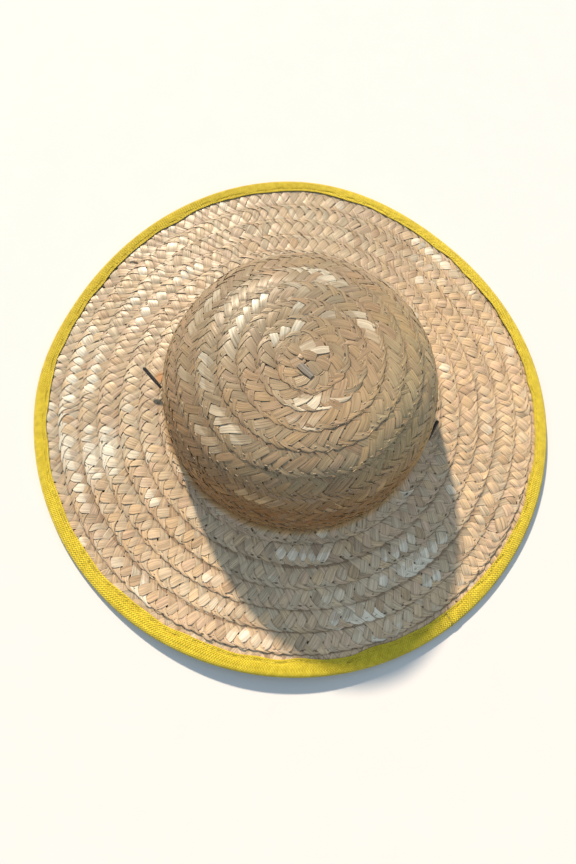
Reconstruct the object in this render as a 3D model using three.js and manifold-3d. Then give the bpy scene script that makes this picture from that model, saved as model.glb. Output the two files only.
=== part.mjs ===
// A straw hat with a domed crown, in millimetres.
// +Z is up, the floor is Z = 0, the wearer's front faces -Y, and the origin is under the middle of the hat.
import * as THREE from 'three';
import { mergeVertices } from 'three/addons/utils/BufferGeometryUtils.js';
import Module from 'manifold-3d';

const wasm = await Module();
wasm.setup();

// Overall sizes
const brimDiameter = 350;
const crownRadius = 86.5;
const crownHeight = 77;
const crownRoundness = 3.4;
const footHeight = 22.5;

// Straw plait: the rows overlap, and the outer edge of each row stands over the next row
const strawWall = 1.8;
const plaitPitch = 13.6;
const plaitStep = 0.9;
const footOverlap = 2.2;

// Binding tape
const tapeWidth = 11.5;
const tapeThickness = 0.7;
const tapeRestWidth = 2.8;

// Chin elastic with a stiff tip at each end
const cordDiameter = 2;
const cordHoleDiameter = 2.7;
const cordHoleHeight = 5.2;
const cordAngle = 7.5;
const tipLength = 17.5;
const tipDiameter = 2.3;
const tipCrimpLength = 4;

// Fit and fineness
const clearance = 0.3;
const turnSteps = 72;
const wallSteps = 12;

// The brim's edge, going round from +X. Lift is a share of edgeWave, spread a share of the brim's radius.
// The edge rests on the floor where its lift is 0.
const edgeWave = 7;
const restBand = 0.2;
const edgeTable = [
  { azimuth: 5, lift: 0.28, spread: 1.002 },
  { azimuth: 55, lift: 0, spread: 0.987 },
  { azimuth: 100, lift: 1, spread: 1.001 },
  { azimuth: 160, lift: 0, spread: 0.984 },
  { azimuth: 190, lift: 0.2, spread: 1.003 },
  { azimuth: 225, lift: 0, spread: 1.005 },
  { azimuth: 270, lift: 0.75, spread: 0.998 },
  { azimuth: 325, lift: 0, spread: 1.003 },
];

// Shallow dents and swellings of the crown. Height is a share of the way up the crown's outline,
// reach a share of that way, and depth a share of the crown's radius, positive inwards.
const dentTable = [
  { azimuth: 68, spread: 34, height: 0.42, reach: 0.3, depth: 0.016 },
  { azimuth: 152, spread: 30, height: 0.5, reach: 0.34, depth: 0.012 },
  { azimuth: 248, spread: 42, height: 0.46, reach: 0.3, depth: -0.008 },
  { azimuth: 330, spread: 32, height: 0.52, reach: 0.32, depth: 0.013 },
];

// The elastic's way from the right tip to the middle of its loop, and the same mirrored to the left tip.
// The first point is worked out from the tip, and these are the rest: x, y and z.
const cordPoints = [
  [79, -10.4, 27.2],
  [75, -10.4, 25],
  [72.6, -10.7, 20],
  [72.4, -11.4, 13],
  [74.4, -13.6, 5.6],
  [79.5, -18, 2],
  [87, -25, 1.2],
  [94, -35, 1.2],
  [99, -48, 1.2],
  [101, -63, 1.2],
  [98, -79, 1.2],
  [90, -94, 1.2],
  [77, -106, 1.2],
  [60, -115, 1.2],
  [41, -120.5, 1.2],
  [20.5, -123, 1.2],
];
const cordMiddle = [0, -123.5, 1.2];
const cordSteps = 78;
const cordSides = 8;

// Worked out from the sizes above
const fullTurn = 2 * Math.PI;
const stackHalf = strawWall / 2 + plaitStep / 2;
const bindingHalf = stackHalf + clearance + tapeThickness;
const edgeRadius = brimDiameter / 2 - tapeThickness - clearance;
const holeRadius = crownRadius - strawWall - footOverlap;
const radians = THREE.MathUtils.degToRad;

function smooth(share) {
  return share * share * (3 - 2 * share);
}

// Lift and spread of the brim's edge at any azimuth in degrees, eased between the rows of the table
function edgeAt(azimuth) {
  const turned = (((azimuth - edgeTable[0].azimuth) % 360) + 360) % 360 + edgeTable[0].azimuth;
  const last = edgeTable.findLastIndex((row) => row.azimuth <= turned);
  const from = edgeTable[last];
  const to = edgeTable[(last + 1) % edgeTable.length];
  const span = ((to.azimuth - from.azimuth + 360) % 360);
  const share = smooth((turned - from.azimuth) / span);
  const lift = THREE.MathUtils.lerp(from.lift, to.lift, share) * edgeWave;
  return {
    lift: Math.max(0, lift - restBand),
    spread: THREE.MathUtils.lerp(from.spread, to.spread, share),
  };
}

// Middle of the brim's thickness at a share of the way from the head hole to the edge
function brimMiddle(azimuth, share) {
  const edge = edgeAt(azimuth);
  const radius = THREE.MathUtils.lerp(holeRadius, edgeRadius * edge.spread, share);
  const top = footHeight - clearance / 2 - stackHalf;
  const height = THREE.MathUtils.lerp(top, bindingHalf, share) + edge.lift * Math.max(0, share) ** 1.5;
  return new THREE.Vector2(radius, height);
}

// A point of the brim's section, moved out of the middle along the section's normal
function brimPoint(azimuth, share, offset) {
  const inner = brimMiddle(azimuth, share - 0.01);
  const outer = brimMiddle(azimuth, share + 0.01);
  const along = outer.sub(inner).normalize();
  return brimMiddle(azimuth, share).add(new THREE.Vector2(-along.y, along.x).multiplyScalar(offset));
}

// The crown's outline from its top to its foot, as lengths along it
const outline = Array.from({ length: 181 }, (_, step) => {
  const angle = (Math.PI / 2) * (step / 180);
  const sine = Math.sin(angle) ** (2 / crownRoundness);
  const cosine = Math.max(0, Math.cos(angle)) ** (2 / crownRoundness);
  return new THREE.Vector2(crownRadius * sine, crownHeight * cosine);
});
const outlineLengths = outline.reduce(
  (lengths, point, step) => [...lengths, step ? lengths[step - 1] + point.distanceTo(outline[step - 1]) : 0],
  [],
);
const outlineLength = outlineLengths.at(-1);

// A point of the crown's outline at a length from the top, moved along its outward normal
function outlinePoint(length, offset) {
  const found = outlineLengths.findIndex((reached) => reached >= Math.min(length, outlineLength));
  const after = Math.max(1, found);
  const from = outlineLengths[after - 1];
  const share = (length - from) / (outlineLengths[after] - from);
  const point = outline[after - 1].clone().lerp(outline[after], share);
  const along = outline[after].clone().sub(outline[after - 1]).normalize();
  return point.add(new THREE.Vector2(-along.y, along.x).multiplyScalar(offset));
}

// How far the crown's wall is moved in by the dents
function dentAt(azimuth, length) {
  const height = 1 - length / outlineLength;
  return dentTable.reduce((sum, dent) => {
    const turn = Math.abs(((azimuth - dent.azimuth + 540) % 360) - 180) / dent.spread;
    const rise = Math.abs(height - dent.height) / dent.reach;
    const reach = Math.hypot(turn, rise);
    return reach < 1 ? sum + dent.depth * crownRadius * smooth(1 - reach) : sum;
  }, 0);
}

// Lengths from the crown's top, or from its foot along the brim, at which a row's outer edge lies
function rowEdges(total) {
  const rows = Math.floor(total / plaitPitch);
  return Array.from({ length: rows }, (_, row) => (row + 1) * plaitPitch);
}

// One closed solid from a ring of sections. A section is a list of radius and height pairs, and the ring
// of sections turns about Z. Points on the axis are shared by all the sections.
function ringSolid(sectionAt) {
  const sections = Array.from({ length: turnSteps }, (_, step) => sectionAt((360 * step) / turnSteps));
  const count = sections[0].length;
  const positions = [];
  const indexOf = sections.map(() => []);
  sections.forEach((section, step) => {
    const turn = (fullTurn * step) / turnSteps;
    section.forEach((point, place) => {
      const shared = point.x < 1e-6 && step > 0;
      indexOf[step][place] = shared ? indexOf[0][place] : positions.length / 3;
      if (!shared) positions.push(point.x * Math.cos(turn), point.x * Math.sin(turn), point.y);
    });
  });
  const indices = [];
  const addTriangle = (a, b, c) => {
    if (a !== b && b !== c && c !== a) indices.push(a, b, c);
  };
  for (let step = 0; step < turnSteps; step += 1) {
    const here = indexOf[step];
    const next = indexOf[(step + 1) % turnSteps];
    for (let place = 0; place < count; place += 1) {
      const along = (place + 1) % count;
      if (here[place] === next[place] && here[along] === next[along]) continue;
      addTriangle(here[place], next[along], next[place]);
      addTriangle(here[place], here[along], next[along]);
    }
  }
  const geometry = new THREE.BufferGeometry();
  geometry.setAttribute('position', new THREE.Float32BufferAttribute(positions, 3));
  geometry.setIndex(indices);
  return geometry;
}

function toManifold(geometry) {
  const bare = geometry.clone();
  bare.deleteAttribute('normal');
  bare.deleteAttribute('uv');
  const merged = mergeVertices(bare, 1e-5);
  return new wasm.Manifold(new wasm.Mesh({
    numProp: 3,
    vertProperties: new Float32Array(merged.attributes.position.array),
    triVerts: new Uint32Array(merged.index.array),
  }));
}

function fromManifold(solid) {
  const mesh = solid.getMesh();
  const geometry = new THREE.BufferGeometry();
  geometry.setAttribute('position', new THREE.Float32BufferAttribute(mesh.vertProperties, 3));
  geometry.setIndex(Array.from(mesh.triVerts));
  return geometry;
}

// Where the elastic goes through the foot of the crown, on the side given as 1 for right and -1 for left
function cordHole(side) {
  const angle = -radians(cordAngle);
  const outward = new THREE.Vector3(side * Math.cos(angle), Math.sin(angle), 0);
  return { outward, centre: outward.clone().multiplyScalar(crownRadius).setZ(footHeight + cordHoleHeight) };
}

// The crown: stepped rows outside, an even wall inside, and a flat foot that stands over the brim
function crownSection(azimuth) {
  const foot = outlineLength - clearance / 2;
  const wallPoint = (length, offset) => {
    const point = outlinePoint(length, offset);
    point.x = Math.max(0, point.x - dentAt(azimuth, length));
    point.y += footHeight;
    return point;
  };
  const outside = [wallPoint(0, 0)];
  let start = 0;
  for (const end of [...rowEdges(foot), foot]) {
    const rise = plaitStep * Math.min(1, (end - start) / plaitPitch) / 2;
    if (start > 0) outside.push(wallPoint(start + plaitStep / 2, -plaitStep / 2));
    outside.push(wallPoint(end, rise));
    start = end;
  }
  const inside = Array.from({ length: wallSteps }, (_, step) => (
    wallPoint(foot * (1 - step / wallSteps), -strawWall)
  ));
  const roof = new THREE.Vector2(0, footHeight + crownHeight - strawWall);
  return [...outside, ...inside, roof];
}

function crownGeometry() {
  const wall = toManifold(ringSolid(crownSection));
  const drills = [1, -1].map((side) => {
    const { outward, centre } = cordHole(side);
    const drill = new THREE.CylinderGeometry(cordHoleDiameter / 2, cordHoleDiameter / 2, strawWall * 6, 12);
    drill.applyQuaternion(new THREE.Quaternion().setFromUnitVectors(new THREE.Vector3(0, 1, 0), outward));
    drill.translate(centre.x, centre.y, centre.z);
    return toManifold(drill);
  });
  return fromManifold(drills.reduce((solid, drill) => solid.subtract(drill), wall));
}

// The brim: the rows step down from the crown's foot to the edge
function brimSection(azimuth) {
  const width = edgeRadius - holeRadius;
  const edges = rowEdges(width - plaitPitch / 3);
  const top = [brimPoint(azimuth, 0, stackHalf)];
  const under = [brimPoint(azimuth, 0, -stackHalf)];
  let start = 0;
  for (const end of [...edges, width]) {
    if (start > 0) top.push(brimPoint(azimuth, (start + plaitStep / 2) / width, stackHalf - plaitStep));
    top.push(brimPoint(azimuth, end / width, stackHalf));
    under.push(brimPoint(azimuth, end / width, -stackHalf));
    start = end;
  }
  return [...top, ...under.reverse()];
}

// The binding: a tape folded over the edge, its two hems on the brim's top and underside. Its fold is
// pressed flat below, where the hat rests.
function bindingSection(azimuth) {
  const reach = edgeRadius - holeRadius;
  const shareAt = (inward) => 1 - inward / reach;
  const outer = stackHalf + clearance + tapeThickness;
  const inner = stackHalf + clearance;
  const fold = -clearance - tapeThickness;
  const at = (inward, offset) => brimPoint(azimuth, shareAt(inward), offset);
  const hemTop = [at(tapeWidth, outer - tapeThickness / 4), at(tapeWidth - tapeThickness, outer)];
  const bottom = brimMiddle(azimuth, 1).y - outer;
  const restEdge = at(fold, 0).x - 1.5 * tapeThickness;
  const rest = [
    new THREE.Vector2(restEdge, bottom),
    new THREE.Vector2(restEdge - tapeRestWidth, bottom),
  ];
  return [
    ...hemTop,
    at(tapeThickness, outer),
    at(fold, inner / 2),
    at(fold, -inner / 2),
    ...rest,
    at(tapeWidth, -outer),
    at(tapeWidth, -inner),
    at(-clearance, -inner),
    at(-clearance, inner),
    at(tapeWidth, inner),
  ];
}

// A tip: a bar with a crimped end that holds the elastic, made along +Y from its crimped end
function tipGeometry() {
  const radius = tipDiameter / 2;
  const profile = [
    [0, 0],
    [radius * 0.86, 0],
    [radius * 0.86, tipCrimpLength],
    [radius, tipCrimpLength + radius / 2],
    [radius, tipLength - radius],
    [radius * 0.6, tipLength - radius * 0.2],
    [0, tipLength],
  ].map(([x, y]) => new THREE.Vector2(x, y));
  return mergeVertices(withoutExtras(new THREE.LatheGeometry(profile, 16)), 1e-5);
}

function withoutExtras(geometry) {
  geometry.deleteAttribute('normal');
  geometry.deleteAttribute('uv');
  return geometry;
}

// Where a tip's crimped end lies: just outside the hole that the elastic comes out of
function tipStart(side) {
  const { outward, centre } = cordHole(side);
  return centre.addScaledVector(outward, plaitStep + clearance + tipDiameter / 2);
}

// The elastic, a round cord through both holes and along the floor under the brim
function cordGeometry() {
  const ends = [1, -1].map((side) => {
    const { outward } = cordHole(side);
    return tipStart(side).addScaledVector(outward, -clearance - tipDiameter / 2);
  });
  const right = cordPoints.map(([x, y, z]) => new THREE.Vector3(x, y, z));
  const left = cordPoints.map(([x, y, z]) => new THREE.Vector3(-x, y, z)).reverse();
  const curve = new THREE.CatmullRomCurve3(
    [ends[0], ...right, new THREE.Vector3(...cordMiddle), ...left, ends[1]], false, 'centripetal',
  );
  const section = new THREE.Shape();
  const corner = (side) => {
    const angle = (fullTurn * (side + 0.5)) / cordSides;
    return [Math.cos(angle) * cordDiameter / 2, Math.sin(angle) * cordDiameter / 2];
  };
  section.moveTo(...corner(0));
  for (let side = 1; side < cordSides; side += 1) section.lineTo(...corner(side));
  section.closePath();
  const tube = new THREE.ExtrudeGeometry(section, { steps: cordSteps, extrudePath: curve });
  return fromManifold(toManifold(tube));
}

const hat = new THREE.Group();

function addPiece(name, geometry, look) {
  const mesh = new THREE.Mesh(geometry, new THREE.MeshStandardMaterial(look));
  mesh.name = name;
  hat.add(mesh);
  return mesh;
}

const straw = { color: 0xc9ab84, roughness: 0.62, metalness: 0 };
addPiece('crown', crownGeometry(), straw);
addPiece('brim', ringSolid(brimSection), straw);
addPiece('brim_binding', ringSolid(bindingSection), { color: 0xe3cf12, roughness: 0.85, metalness: 0 });

// The left tip sticks out over the brim, and the right one leans back against the crown
const tips = [
  { name: 'toggle_left', side: -1, direction: [-13.3, 9.7, 5] },
  { name: 'toggle_right', side: 1, direction: [1.4, 8.9, 15] },
];
for (const { name, side, direction } of tips) {
  const tip = addPiece(name, tipGeometry(), { color: 0x1b1c1e, roughness: 0.4, metalness: 0.3 });
  tip.position.copy(tipStart(side));
  const along = new THREE.Vector3(...direction).normalize();
  tip.quaternion.setFromUnitVectors(new THREE.Vector3(0, 1, 0), along);
}

addPiece('chin_cord', cordGeometry(), { color: 0x202022, roughness: 0.8, metalness: 0 });

export default hat;
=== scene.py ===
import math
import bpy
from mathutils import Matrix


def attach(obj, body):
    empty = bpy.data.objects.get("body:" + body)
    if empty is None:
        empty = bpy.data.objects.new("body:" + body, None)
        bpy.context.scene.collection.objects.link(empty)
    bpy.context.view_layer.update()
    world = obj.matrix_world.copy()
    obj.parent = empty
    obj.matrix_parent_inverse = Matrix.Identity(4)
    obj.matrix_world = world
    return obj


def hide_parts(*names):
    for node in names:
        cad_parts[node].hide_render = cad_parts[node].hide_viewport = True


bl_info = {
    "name": "Straw Hat",
    "version": (1, 0, 0),
    "blender": (4, 5, 0),
    "location": "View3D > Sidebar > Hat",
    "description": "A straw hat of sewn plait with a domed crown, a bound brim and a chin elastic",
    "category": "Object",
}

import bmesh
import bpy
import numpy as np
from bpy.props import FloatProperty, FloatVectorProperty, PointerProperty
from bpy.types import Operator, Panel, PropertyGroup
from mathutils import Matrix, Vector

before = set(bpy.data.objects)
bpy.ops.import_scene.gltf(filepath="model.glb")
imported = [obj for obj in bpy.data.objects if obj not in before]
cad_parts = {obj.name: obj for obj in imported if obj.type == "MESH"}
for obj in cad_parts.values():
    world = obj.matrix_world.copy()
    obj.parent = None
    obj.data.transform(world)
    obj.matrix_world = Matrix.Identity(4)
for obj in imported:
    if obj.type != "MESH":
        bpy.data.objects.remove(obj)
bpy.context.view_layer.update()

# The hat's form, in metres, as the solids have it
CROWN_RADIUS = 0.0865
CROWN_HEIGHT = 0.077
CROWN_ROUNDNESS = 3.4
FOOT_HEIGHT = 0.0225
STRAW_WALL = 0.0018
PLAIT_STEP = 0.0009
FOOT_OVERLAP = 0.0022
CLEARANCE = 0.0003
BRIM_DIAMETER = 0.35
TAPE_THICKNESS = 0.0007
EDGE_WAVE = 0.007
REST_BAND = 0.0002

# The brim's edge, going round from +X in degrees. Lift is a share of EDGE_WAVE, spread of the radius.
EDGE_TABLE = {
    "azimuth": (5, 55, 100, 160, 190, 225, 270, 325),
    "lift": (0.28, 0, 1, 0, 0.2, 0, 0.75, 0),
    "spread": (1.002, 0.987, 1.001, 0.984, 1.003, 1.005, 0.998, 1.003),
}

# Shallow dents of the crown: height and reach are shares of its outline, depth a share of its radius
DENT_TABLE = (
    {"azimuth": 68, "spread": 34, "height": 0.42, "reach": 0.3, "depth": 0.016},
    {"azimuth": 152, "spread": 30, "height": 0.5, "reach": 0.34, "depth": 0.012},
    {"azimuth": 248, "spread": 42, "height": 0.46, "reach": 0.3, "depth": -0.008},
    {"azimuth": 330, "spread": 32, "height": 0.52, "reach": 0.32, "depth": 0.013},
)

STACK_HALF = (STRAW_WALL + PLAIT_STEP) / 2
BINDING_HALF = STACK_HALF + CLEARANCE + TAPE_THICKNESS
EDGE_RADIUS = BRIM_DIAMETER / 2 - TAPE_THICKNESS - CLEARANCE
HOLE_RADIUS = CROWN_RADIUS - STRAW_WALL - FOOT_OVERLAP

# The middle of the plait lies this far inside the crown's outline
CROWN_INSET = 0.00075
# The plait bends round the crown's foot over this length to each side of the corner
FOOT_BEND = 0.0045

# The chin elastic and its tips
CORD_DIAMETER = 0.002
CORD_HOLE_HEIGHT = 0.0052
CORD_ANGLE = math.radians(7.5)
TIP_LENGTH = 0.0175
TIP_DIAMETER = 0.0023
TIP_CRIMP_LENGTH = 0.004
TIPS = (
    {"name": "toggle_left", "side": -1, "direction": (-13.3, 9.7, 5)},
    {"name": "toggle_right", "side": 1, "direction": (1.4, 8.9, 15)},
)
CORD_POINTS = (
    (0.079, -0.0104, 0.0272),
    (0.075, -0.0104, 0.025),
    (0.0726, -0.0107, 0.02),
    (0.0724, -0.0114, 0.013),
    (0.0744, -0.0136, 0.0056),
    (0.0795, -0.018, 0.002),
    (0.087, -0.025, 0.0012),
    (0.094, -0.035, 0.0012),
    (0.099, -0.048, 0.0012),
    (0.101, -0.063, 0.0012),
    (0.098, -0.079, 0.0012),
    (0.09, -0.094, 0.0012),
    (0.077, -0.106, 0.0012),
    (0.06, -0.115, 0.0012),
    (0.041, -0.1205, 0.0012),
    (0.0205, -0.123, 0.0012),
)
CORD_MIDDLE = (0, -0.1235, 0.0012)


def smooth(share):
    share = np.clip(share, 0, 1)
    return share * share * (3 - 2 * share)


def edge_at(azimuth):
    """Lift and spread of the brim's edge at azimuths in degrees, eased between the table's rows."""
    rows = {name: np.array(values, float) for name, values in EDGE_TABLE.items()}
    first = rows["azimuth"][0]
    turned = np.mod(azimuth - first, 360) + first
    start = np.searchsorted(rows["azimuth"], turned, side="right") - 1
    end = (start + 1) % len(rows["azimuth"])
    span = np.mod(rows["azimuth"][end] - rows["azimuth"][start], 360)
    share = smooth((turned - rows["azimuth"][start]) / span)
    lift = (rows["lift"][start] * (1 - share) + rows["lift"][end] * share) * EDGE_WAVE
    spread = rows["spread"][start] * (1 - share) + rows["spread"][end] * share
    return np.maximum(0, lift - REST_BAND), spread


def brim_middle(azimuth, share):
    """Radius and height of the middle of the brim at a share of the way from head hole to edge."""
    lift, spread = edge_at(azimuth)
    radius = HOLE_RADIUS + (EDGE_RADIUS * spread - HOLE_RADIUS) * share
    top = FOOT_HEIGHT - CLEARANCE / 2 - STACK_HALF
    height = top + (BINDING_HALF - top) * share + lift * np.maximum(0, share) ** 1.5
    return radius, height


def crown_outline():
    """The crown's outline from its top to its foot: lengths, radii and heights of the plait's middle."""
    angle = np.linspace(0, math.pi / 2, 721)
    radius = CROWN_RADIUS * np.sin(angle) ** (2 / CROWN_ROUNDNESS)
    height = CROWN_HEIGHT * np.maximum(0, np.cos(angle)) ** (2 / CROWN_ROUNDNESS)
    step = np.hypot(np.diff(radius), np.diff(height))
    length = np.concatenate(([0], np.cumsum(step)))
    slope_r = np.gradient(radius, length)
    slope_z = np.gradient(height, length)
    size = np.hypot(slope_r, slope_z)
    radius = radius + slope_z / size * CROWN_INSET
    height = height - slope_r / size * CROWN_INSET
    radius[0] = 0
    return length, radius, height + FOOT_HEIGHT


OUTLINE = crown_outline()
OUTLINE_LENGTH = OUTLINE[0][-1]
CORNER_RADIUS = CROWN_RADIUS - CROWN_INSET
CORNER_SHARE = (CORNER_RADIUS - HOLE_RADIUS) / (EDGE_RADIUS - HOLE_RADIUS)
CORNER_HEIGHT = float(brim_middle(np.array([160.0]), CORNER_SHARE)[1][0])
CORNER_LENGTH = OUTLINE_LENGTH + FOOT_HEIGHT - CORNER_HEIGHT
BRIM_LENGTH = math.hypot(EDGE_RADIUS - CORNER_RADIUS, CORNER_HEIGHT - BINDING_HALF)
HAT_LENGTH = CORNER_LENGTH + BRIM_LENGTH


def turn_from(azimuth, middle):
    """Degrees between azimuths and a direction, the shorter way round."""
    return np.abs(np.mod(azimuth - middle + 180, 360) - 180)


def dent_at(azimuth, length):
    """Depth of the crown's dents at azimuths and lengths from its top."""
    height = 1 - length / OUTLINE_LENGTH
    total = np.zeros(np.broadcast(azimuth, length).shape)
    for dent in DENT_TABLE:
        turn = turn_from(azimuth, dent["azimuth"]) / dent["spread"]
        rise = np.abs(height - dent["height"]) / dent["reach"]
        total += dent["depth"] * CROWN_RADIUS * smooth(1 - np.hypot(turn, rise))
    return total


def hat_middle(azimuth, length):
    """Radius and height of the plait's middle at a length from the crown's top, past the top if negative."""
    azimuth, length = np.broadcast_arrays(azimuth, length)
    side = np.where(length < 0, -1.0, 1.0)
    reach = np.abs(length)

    def sharp(reached):
        crown_r = np.interp(reached, OUTLINE[0], OUTLINE[1]) - dent_at(azimuth, reached)
        crown_z = np.interp(reached, OUTLINE[0], OUTLINE[2]) - np.maximum(0, reached - OUTLINE_LENGTH)
        share = CORNER_SHARE + (1 - CORNER_SHARE) * (reached - CORNER_LENGTH) / BRIM_LENGTH
        brim_r, brim_z = brim_middle(azimuth, share)
        on_brim = reached > CORNER_LENGTH
        return np.where(on_brim, brim_r, crown_r), np.where(on_brim, brim_z, crown_z)

    radius, height = sharp(reach)
    bend = (reach - CORNER_LENGTH + FOOT_BEND) / (2 * FOOT_BEND)
    inside = (bend > 0) & (bend < 1)
    before = sharp(np.full(reach.shape, CORNER_LENGTH - FOOT_BEND))
    corner = brim_middle(azimuth, CORNER_SHARE)
    after = sharp(np.full(reach.shape, CORNER_LENGTH + FOOT_BEND))
    bent = [
        (1 - bend) ** 2 * start + 2 * bend * (1 - bend) * middle + bend**2 * end
        for start, middle, end in zip(before, corner, after)
    ]
    radius = np.where(inside, bent[0], radius)
    height = np.where(inside, bent[1], height)
    return radius * side, height


def hat_point(azimuth, length, lift):
    """Points at a lift above the plait's middle, with the hat's normal there. Azimuths are in degrees."""
    step = 0.0004
    radius, height = hat_middle(azimuth, length)
    before = hat_middle(azimuth, length - step)
    after = hat_middle(azimuth, length + step)
    along_r = after[0] - before[0]
    along_z = after[1] - before[1]
    size = np.hypot(along_r, along_z)
    normal_r = -along_z / size
    normal_z = along_r / size
    turn = np.radians(azimuth)
    normal = np.stack((normal_r * np.cos(turn), normal_r * np.sin(turn), normal_z), axis=-1)
    point = np.stack((radius * np.cos(turn), radius * np.sin(turn), height), axis=-1)
    return point + normal * np.asarray(lift)[..., None], normal


# Lengths from the crown's top at which the plait's first turns cross the front: closer at the top
FRONT_ROWS = (0.003, 0.0126, 0.0227, 0.0338, 0.0455, 0.0596, 0.0741, 0.0885)


class PlaitPath:
    """The plait's middle line: a spiral from the crown's top to the brim's edge, and how it is stacked."""

    START_TURN = -0.08
    LAST_TURN = 0.7
    EDGE_GAP = 0.0008
    GATHER = 0.0035
    GATHER_REACH = 0.025
    POINTS = 24000
    # Size and number of the waves in the rows, and size and span of the straws' looseness
    WANDER = (0.00035, 5)
    FLOAT = (0.00005, 7)
    LOOSE_ALONG = (0.0011, 0.05)
    LOOSE_TURN = (0.0015, 0.026)
    LOOSE_ACROSS = (0.0009, 0.02)
    # Rows lie flatter within this length of the crown's top
    FLAT_TOP = 0.09

    def __init__(self, plait, noise):
        self.width = plait.width
        self.pitch = plait.pitch
        self.tilt = plait.tilt
        self.thickness = plait.thickness
        final = HAT_LENGTH - self.EDGE_GAP - self.width / 2
        sewn_turns = len(FRONT_ROWS) - 1
        full_turn = sewn_turns + (final - FRONT_ROWS[-1]) / self.pitch
        self.turn = np.linspace(self.START_TURN, full_turn + self.LAST_TURN, self.POINTS)
        rows = np.append(FRONT_ROWS, FRONT_ROWS[-1] + 40 * self.pitch)
        level = np.interp(self.turn, np.append(np.arange(sewn_turns + 1), sewn_turns + 40), rows)
        self.middle = np.minimum(level, final)
        self.tucked = np.maximum(0, level - final)
        self.azimuth = -90 + 360 * self.turn
        self.wander = noise.wave(self.turn, *self.WANDER)
        self.float = noise.wave(self.turn, *self.FLOAT)
        gathered = self.GATHER * (1 - smooth(self.middle / self.GATHER_REACH))
        radius, height = hat_middle(self.azimuth, self.middle + gathered)
        turn = np.radians(self.azimuth)
        line = np.stack((radius * np.cos(turn), radius * np.sin(turn), height), axis=-1)
        self.along = np.concatenate(([0], np.cumsum(np.linalg.norm(np.diff(line, axis=0), axis=1))))
        self.length = self.along[-1]
        self.loose_along = noise.run(self.length, *self.LOOSE_ALONG)
        self.loose_turn = noise.run(self.length, *self.LOOSE_TURN)
        self.loose_across = noise.run(self.length, *self.LOOSE_ACROSS)

    def place(self, along, across, lift):
        """Points on the hat for places along and across the plait."""
        azimuth = np.interp(along, self.along, self.azimuth)
        middle = np.interp(along, self.along, self.middle)
        edge_fade = smooth((HAT_LENGTH - middle - self.width / 2) / self.pitch)
        middle = middle + np.interp(along, self.along, self.wander) * edge_fade
        tucked = np.interp(along, self.along, self.tucked)
        clear = self.tilt * (self.pitch - tucked) / self.width
        drop = np.where(tucked > 0, np.maximum(0, self.thickness - clear), 0)
        tilt = self.tilt * (0.4 + 0.6 * smooth(middle / self.FLAT_TOP))
        stacked = tilt * across / self.width + np.interp(along, self.along, self.float) - drop
        return hat_point(azimuth, middle + across, stacked + lift)

    def row_length(self, along):
        return np.interp(along, self.along, self.middle)

    def clear_of_row(self, along, across):
        """Distance of a place on the plait past the edge of the row that lies on it."""
        turn = np.interp(along, self.along, self.turn)
        over = np.interp(turn - 1, self.turn, self.middle) + self.width / 2
        return np.where(turn < self.turn[0] + 1, 0.02, self.row_length(along) + across - over)


class Noise:
    """Seeded draws, and smooth waves built from them."""

    def __init__(self, seed):
        self.draw = np.random.default_rng(seed)

    def run(self, length, size, span):
        """A smooth random curve over a length, with bends about a span apart."""
        knots = np.linspace(-0.1, length + 0.1, int(length / span * 2) + 8)
        heights = self.draw.normal(0, size, len(knots))

        def at(where):
            place = (np.asarray(where) - knots[0]) / (knots[1] - knots[0])
            first = np.clip(place.astype(int), 0, len(knots) - 2)
            share = smooth(place - first)
            return heights[first] * (1 - share) + heights[first + 1] * share

        return at

    def wave(self, where, size, count):
        total = np.zeros(np.shape(where))
        for _ in range(count):
            frequency = self.draw.uniform(0.6, 6.5)
            phase = self.draw.uniform(0, 2 * math.pi)
            total += np.sin(2 * math.pi * frequency * where + phase)
        return total * size / math.sqrt(count / 2)


def linked_object(name, data):
    """A new object in the scene with the given mesh, curve, light or camera."""
    piece = bpy.data.objects.new(name, data)
    bpy.context.scene.collection.objects.link(piece)
    return piece


def ring_places(rings, sides):
    """Numbers of the points on all rings but the last, and of their neighbours round the ring."""
    start = (np.arange(rings - 1) * sides)[:, None]
    place = np.arange(sides)
    return start + place, start + (place + 1) % sides


def tiled(layout, count, columns):
    """The bake layout of one strip, set out side by side for all of them."""
    rows = math.ceil(count / columns)
    corner = np.stack((np.arange(count) % columns, np.arange(count) // columns), axis=-1)
    return (layout[None] + corner[:, None, None]) / np.array((columns, rows))


def mesh_object(name, points, quads, material, bake_uv, values=None, sharp=None):
    """A mesh of quads with a UV map for baking, and with point values for its material."""
    mesh = bpy.data.meshes.new(name)
    corners = quads.reshape(-1).astype(np.int32)
    mesh.vertices.add(len(points))
    mesh.vertices.foreach_set("co", points.reshape(-1).astype(np.float32))
    mesh.loops.add(len(corners))
    mesh.loops.foreach_set("vertex_index", corners)
    mesh.polygons.add(len(quads))
    mesh.polygons.foreach_set("loop_start", np.arange(0, len(corners), 4, dtype=np.int32))
    mesh.polygons.foreach_set("use_smooth", np.ones(len(quads), bool))
    mesh.update(calc_edges=True)
    layer = mesh.uv_layers.new(name="OFBake")
    layer.data.foreach_set("uv", bake_uv.reshape(-1).astype(np.float32))
    for key, (kind, data) in (values or {}).items():
        attribute = mesh.attributes.new(key, kind, "POINT")
        field = {"FLOAT_VECTOR": "vector", "FLOAT_COLOR": "color", "FLOAT": "value"}[kind]
        attribute.data.foreach_set(field, data.reshape(-1).astype(np.float32))
    if sharp is not None:
        edges = np.empty(len(mesh.edges) * 2, np.int32)
        mesh.edges.foreach_get("vertices", edges)
        flags = mesh.attributes.new("sharp_edge", "BOOLEAN", "EDGE")
        flags.data.foreach_set("value", sharp(edges.reshape(-1, 2)))
    mesh.materials.append(material)
    return linked_object(name, mesh)


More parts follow.
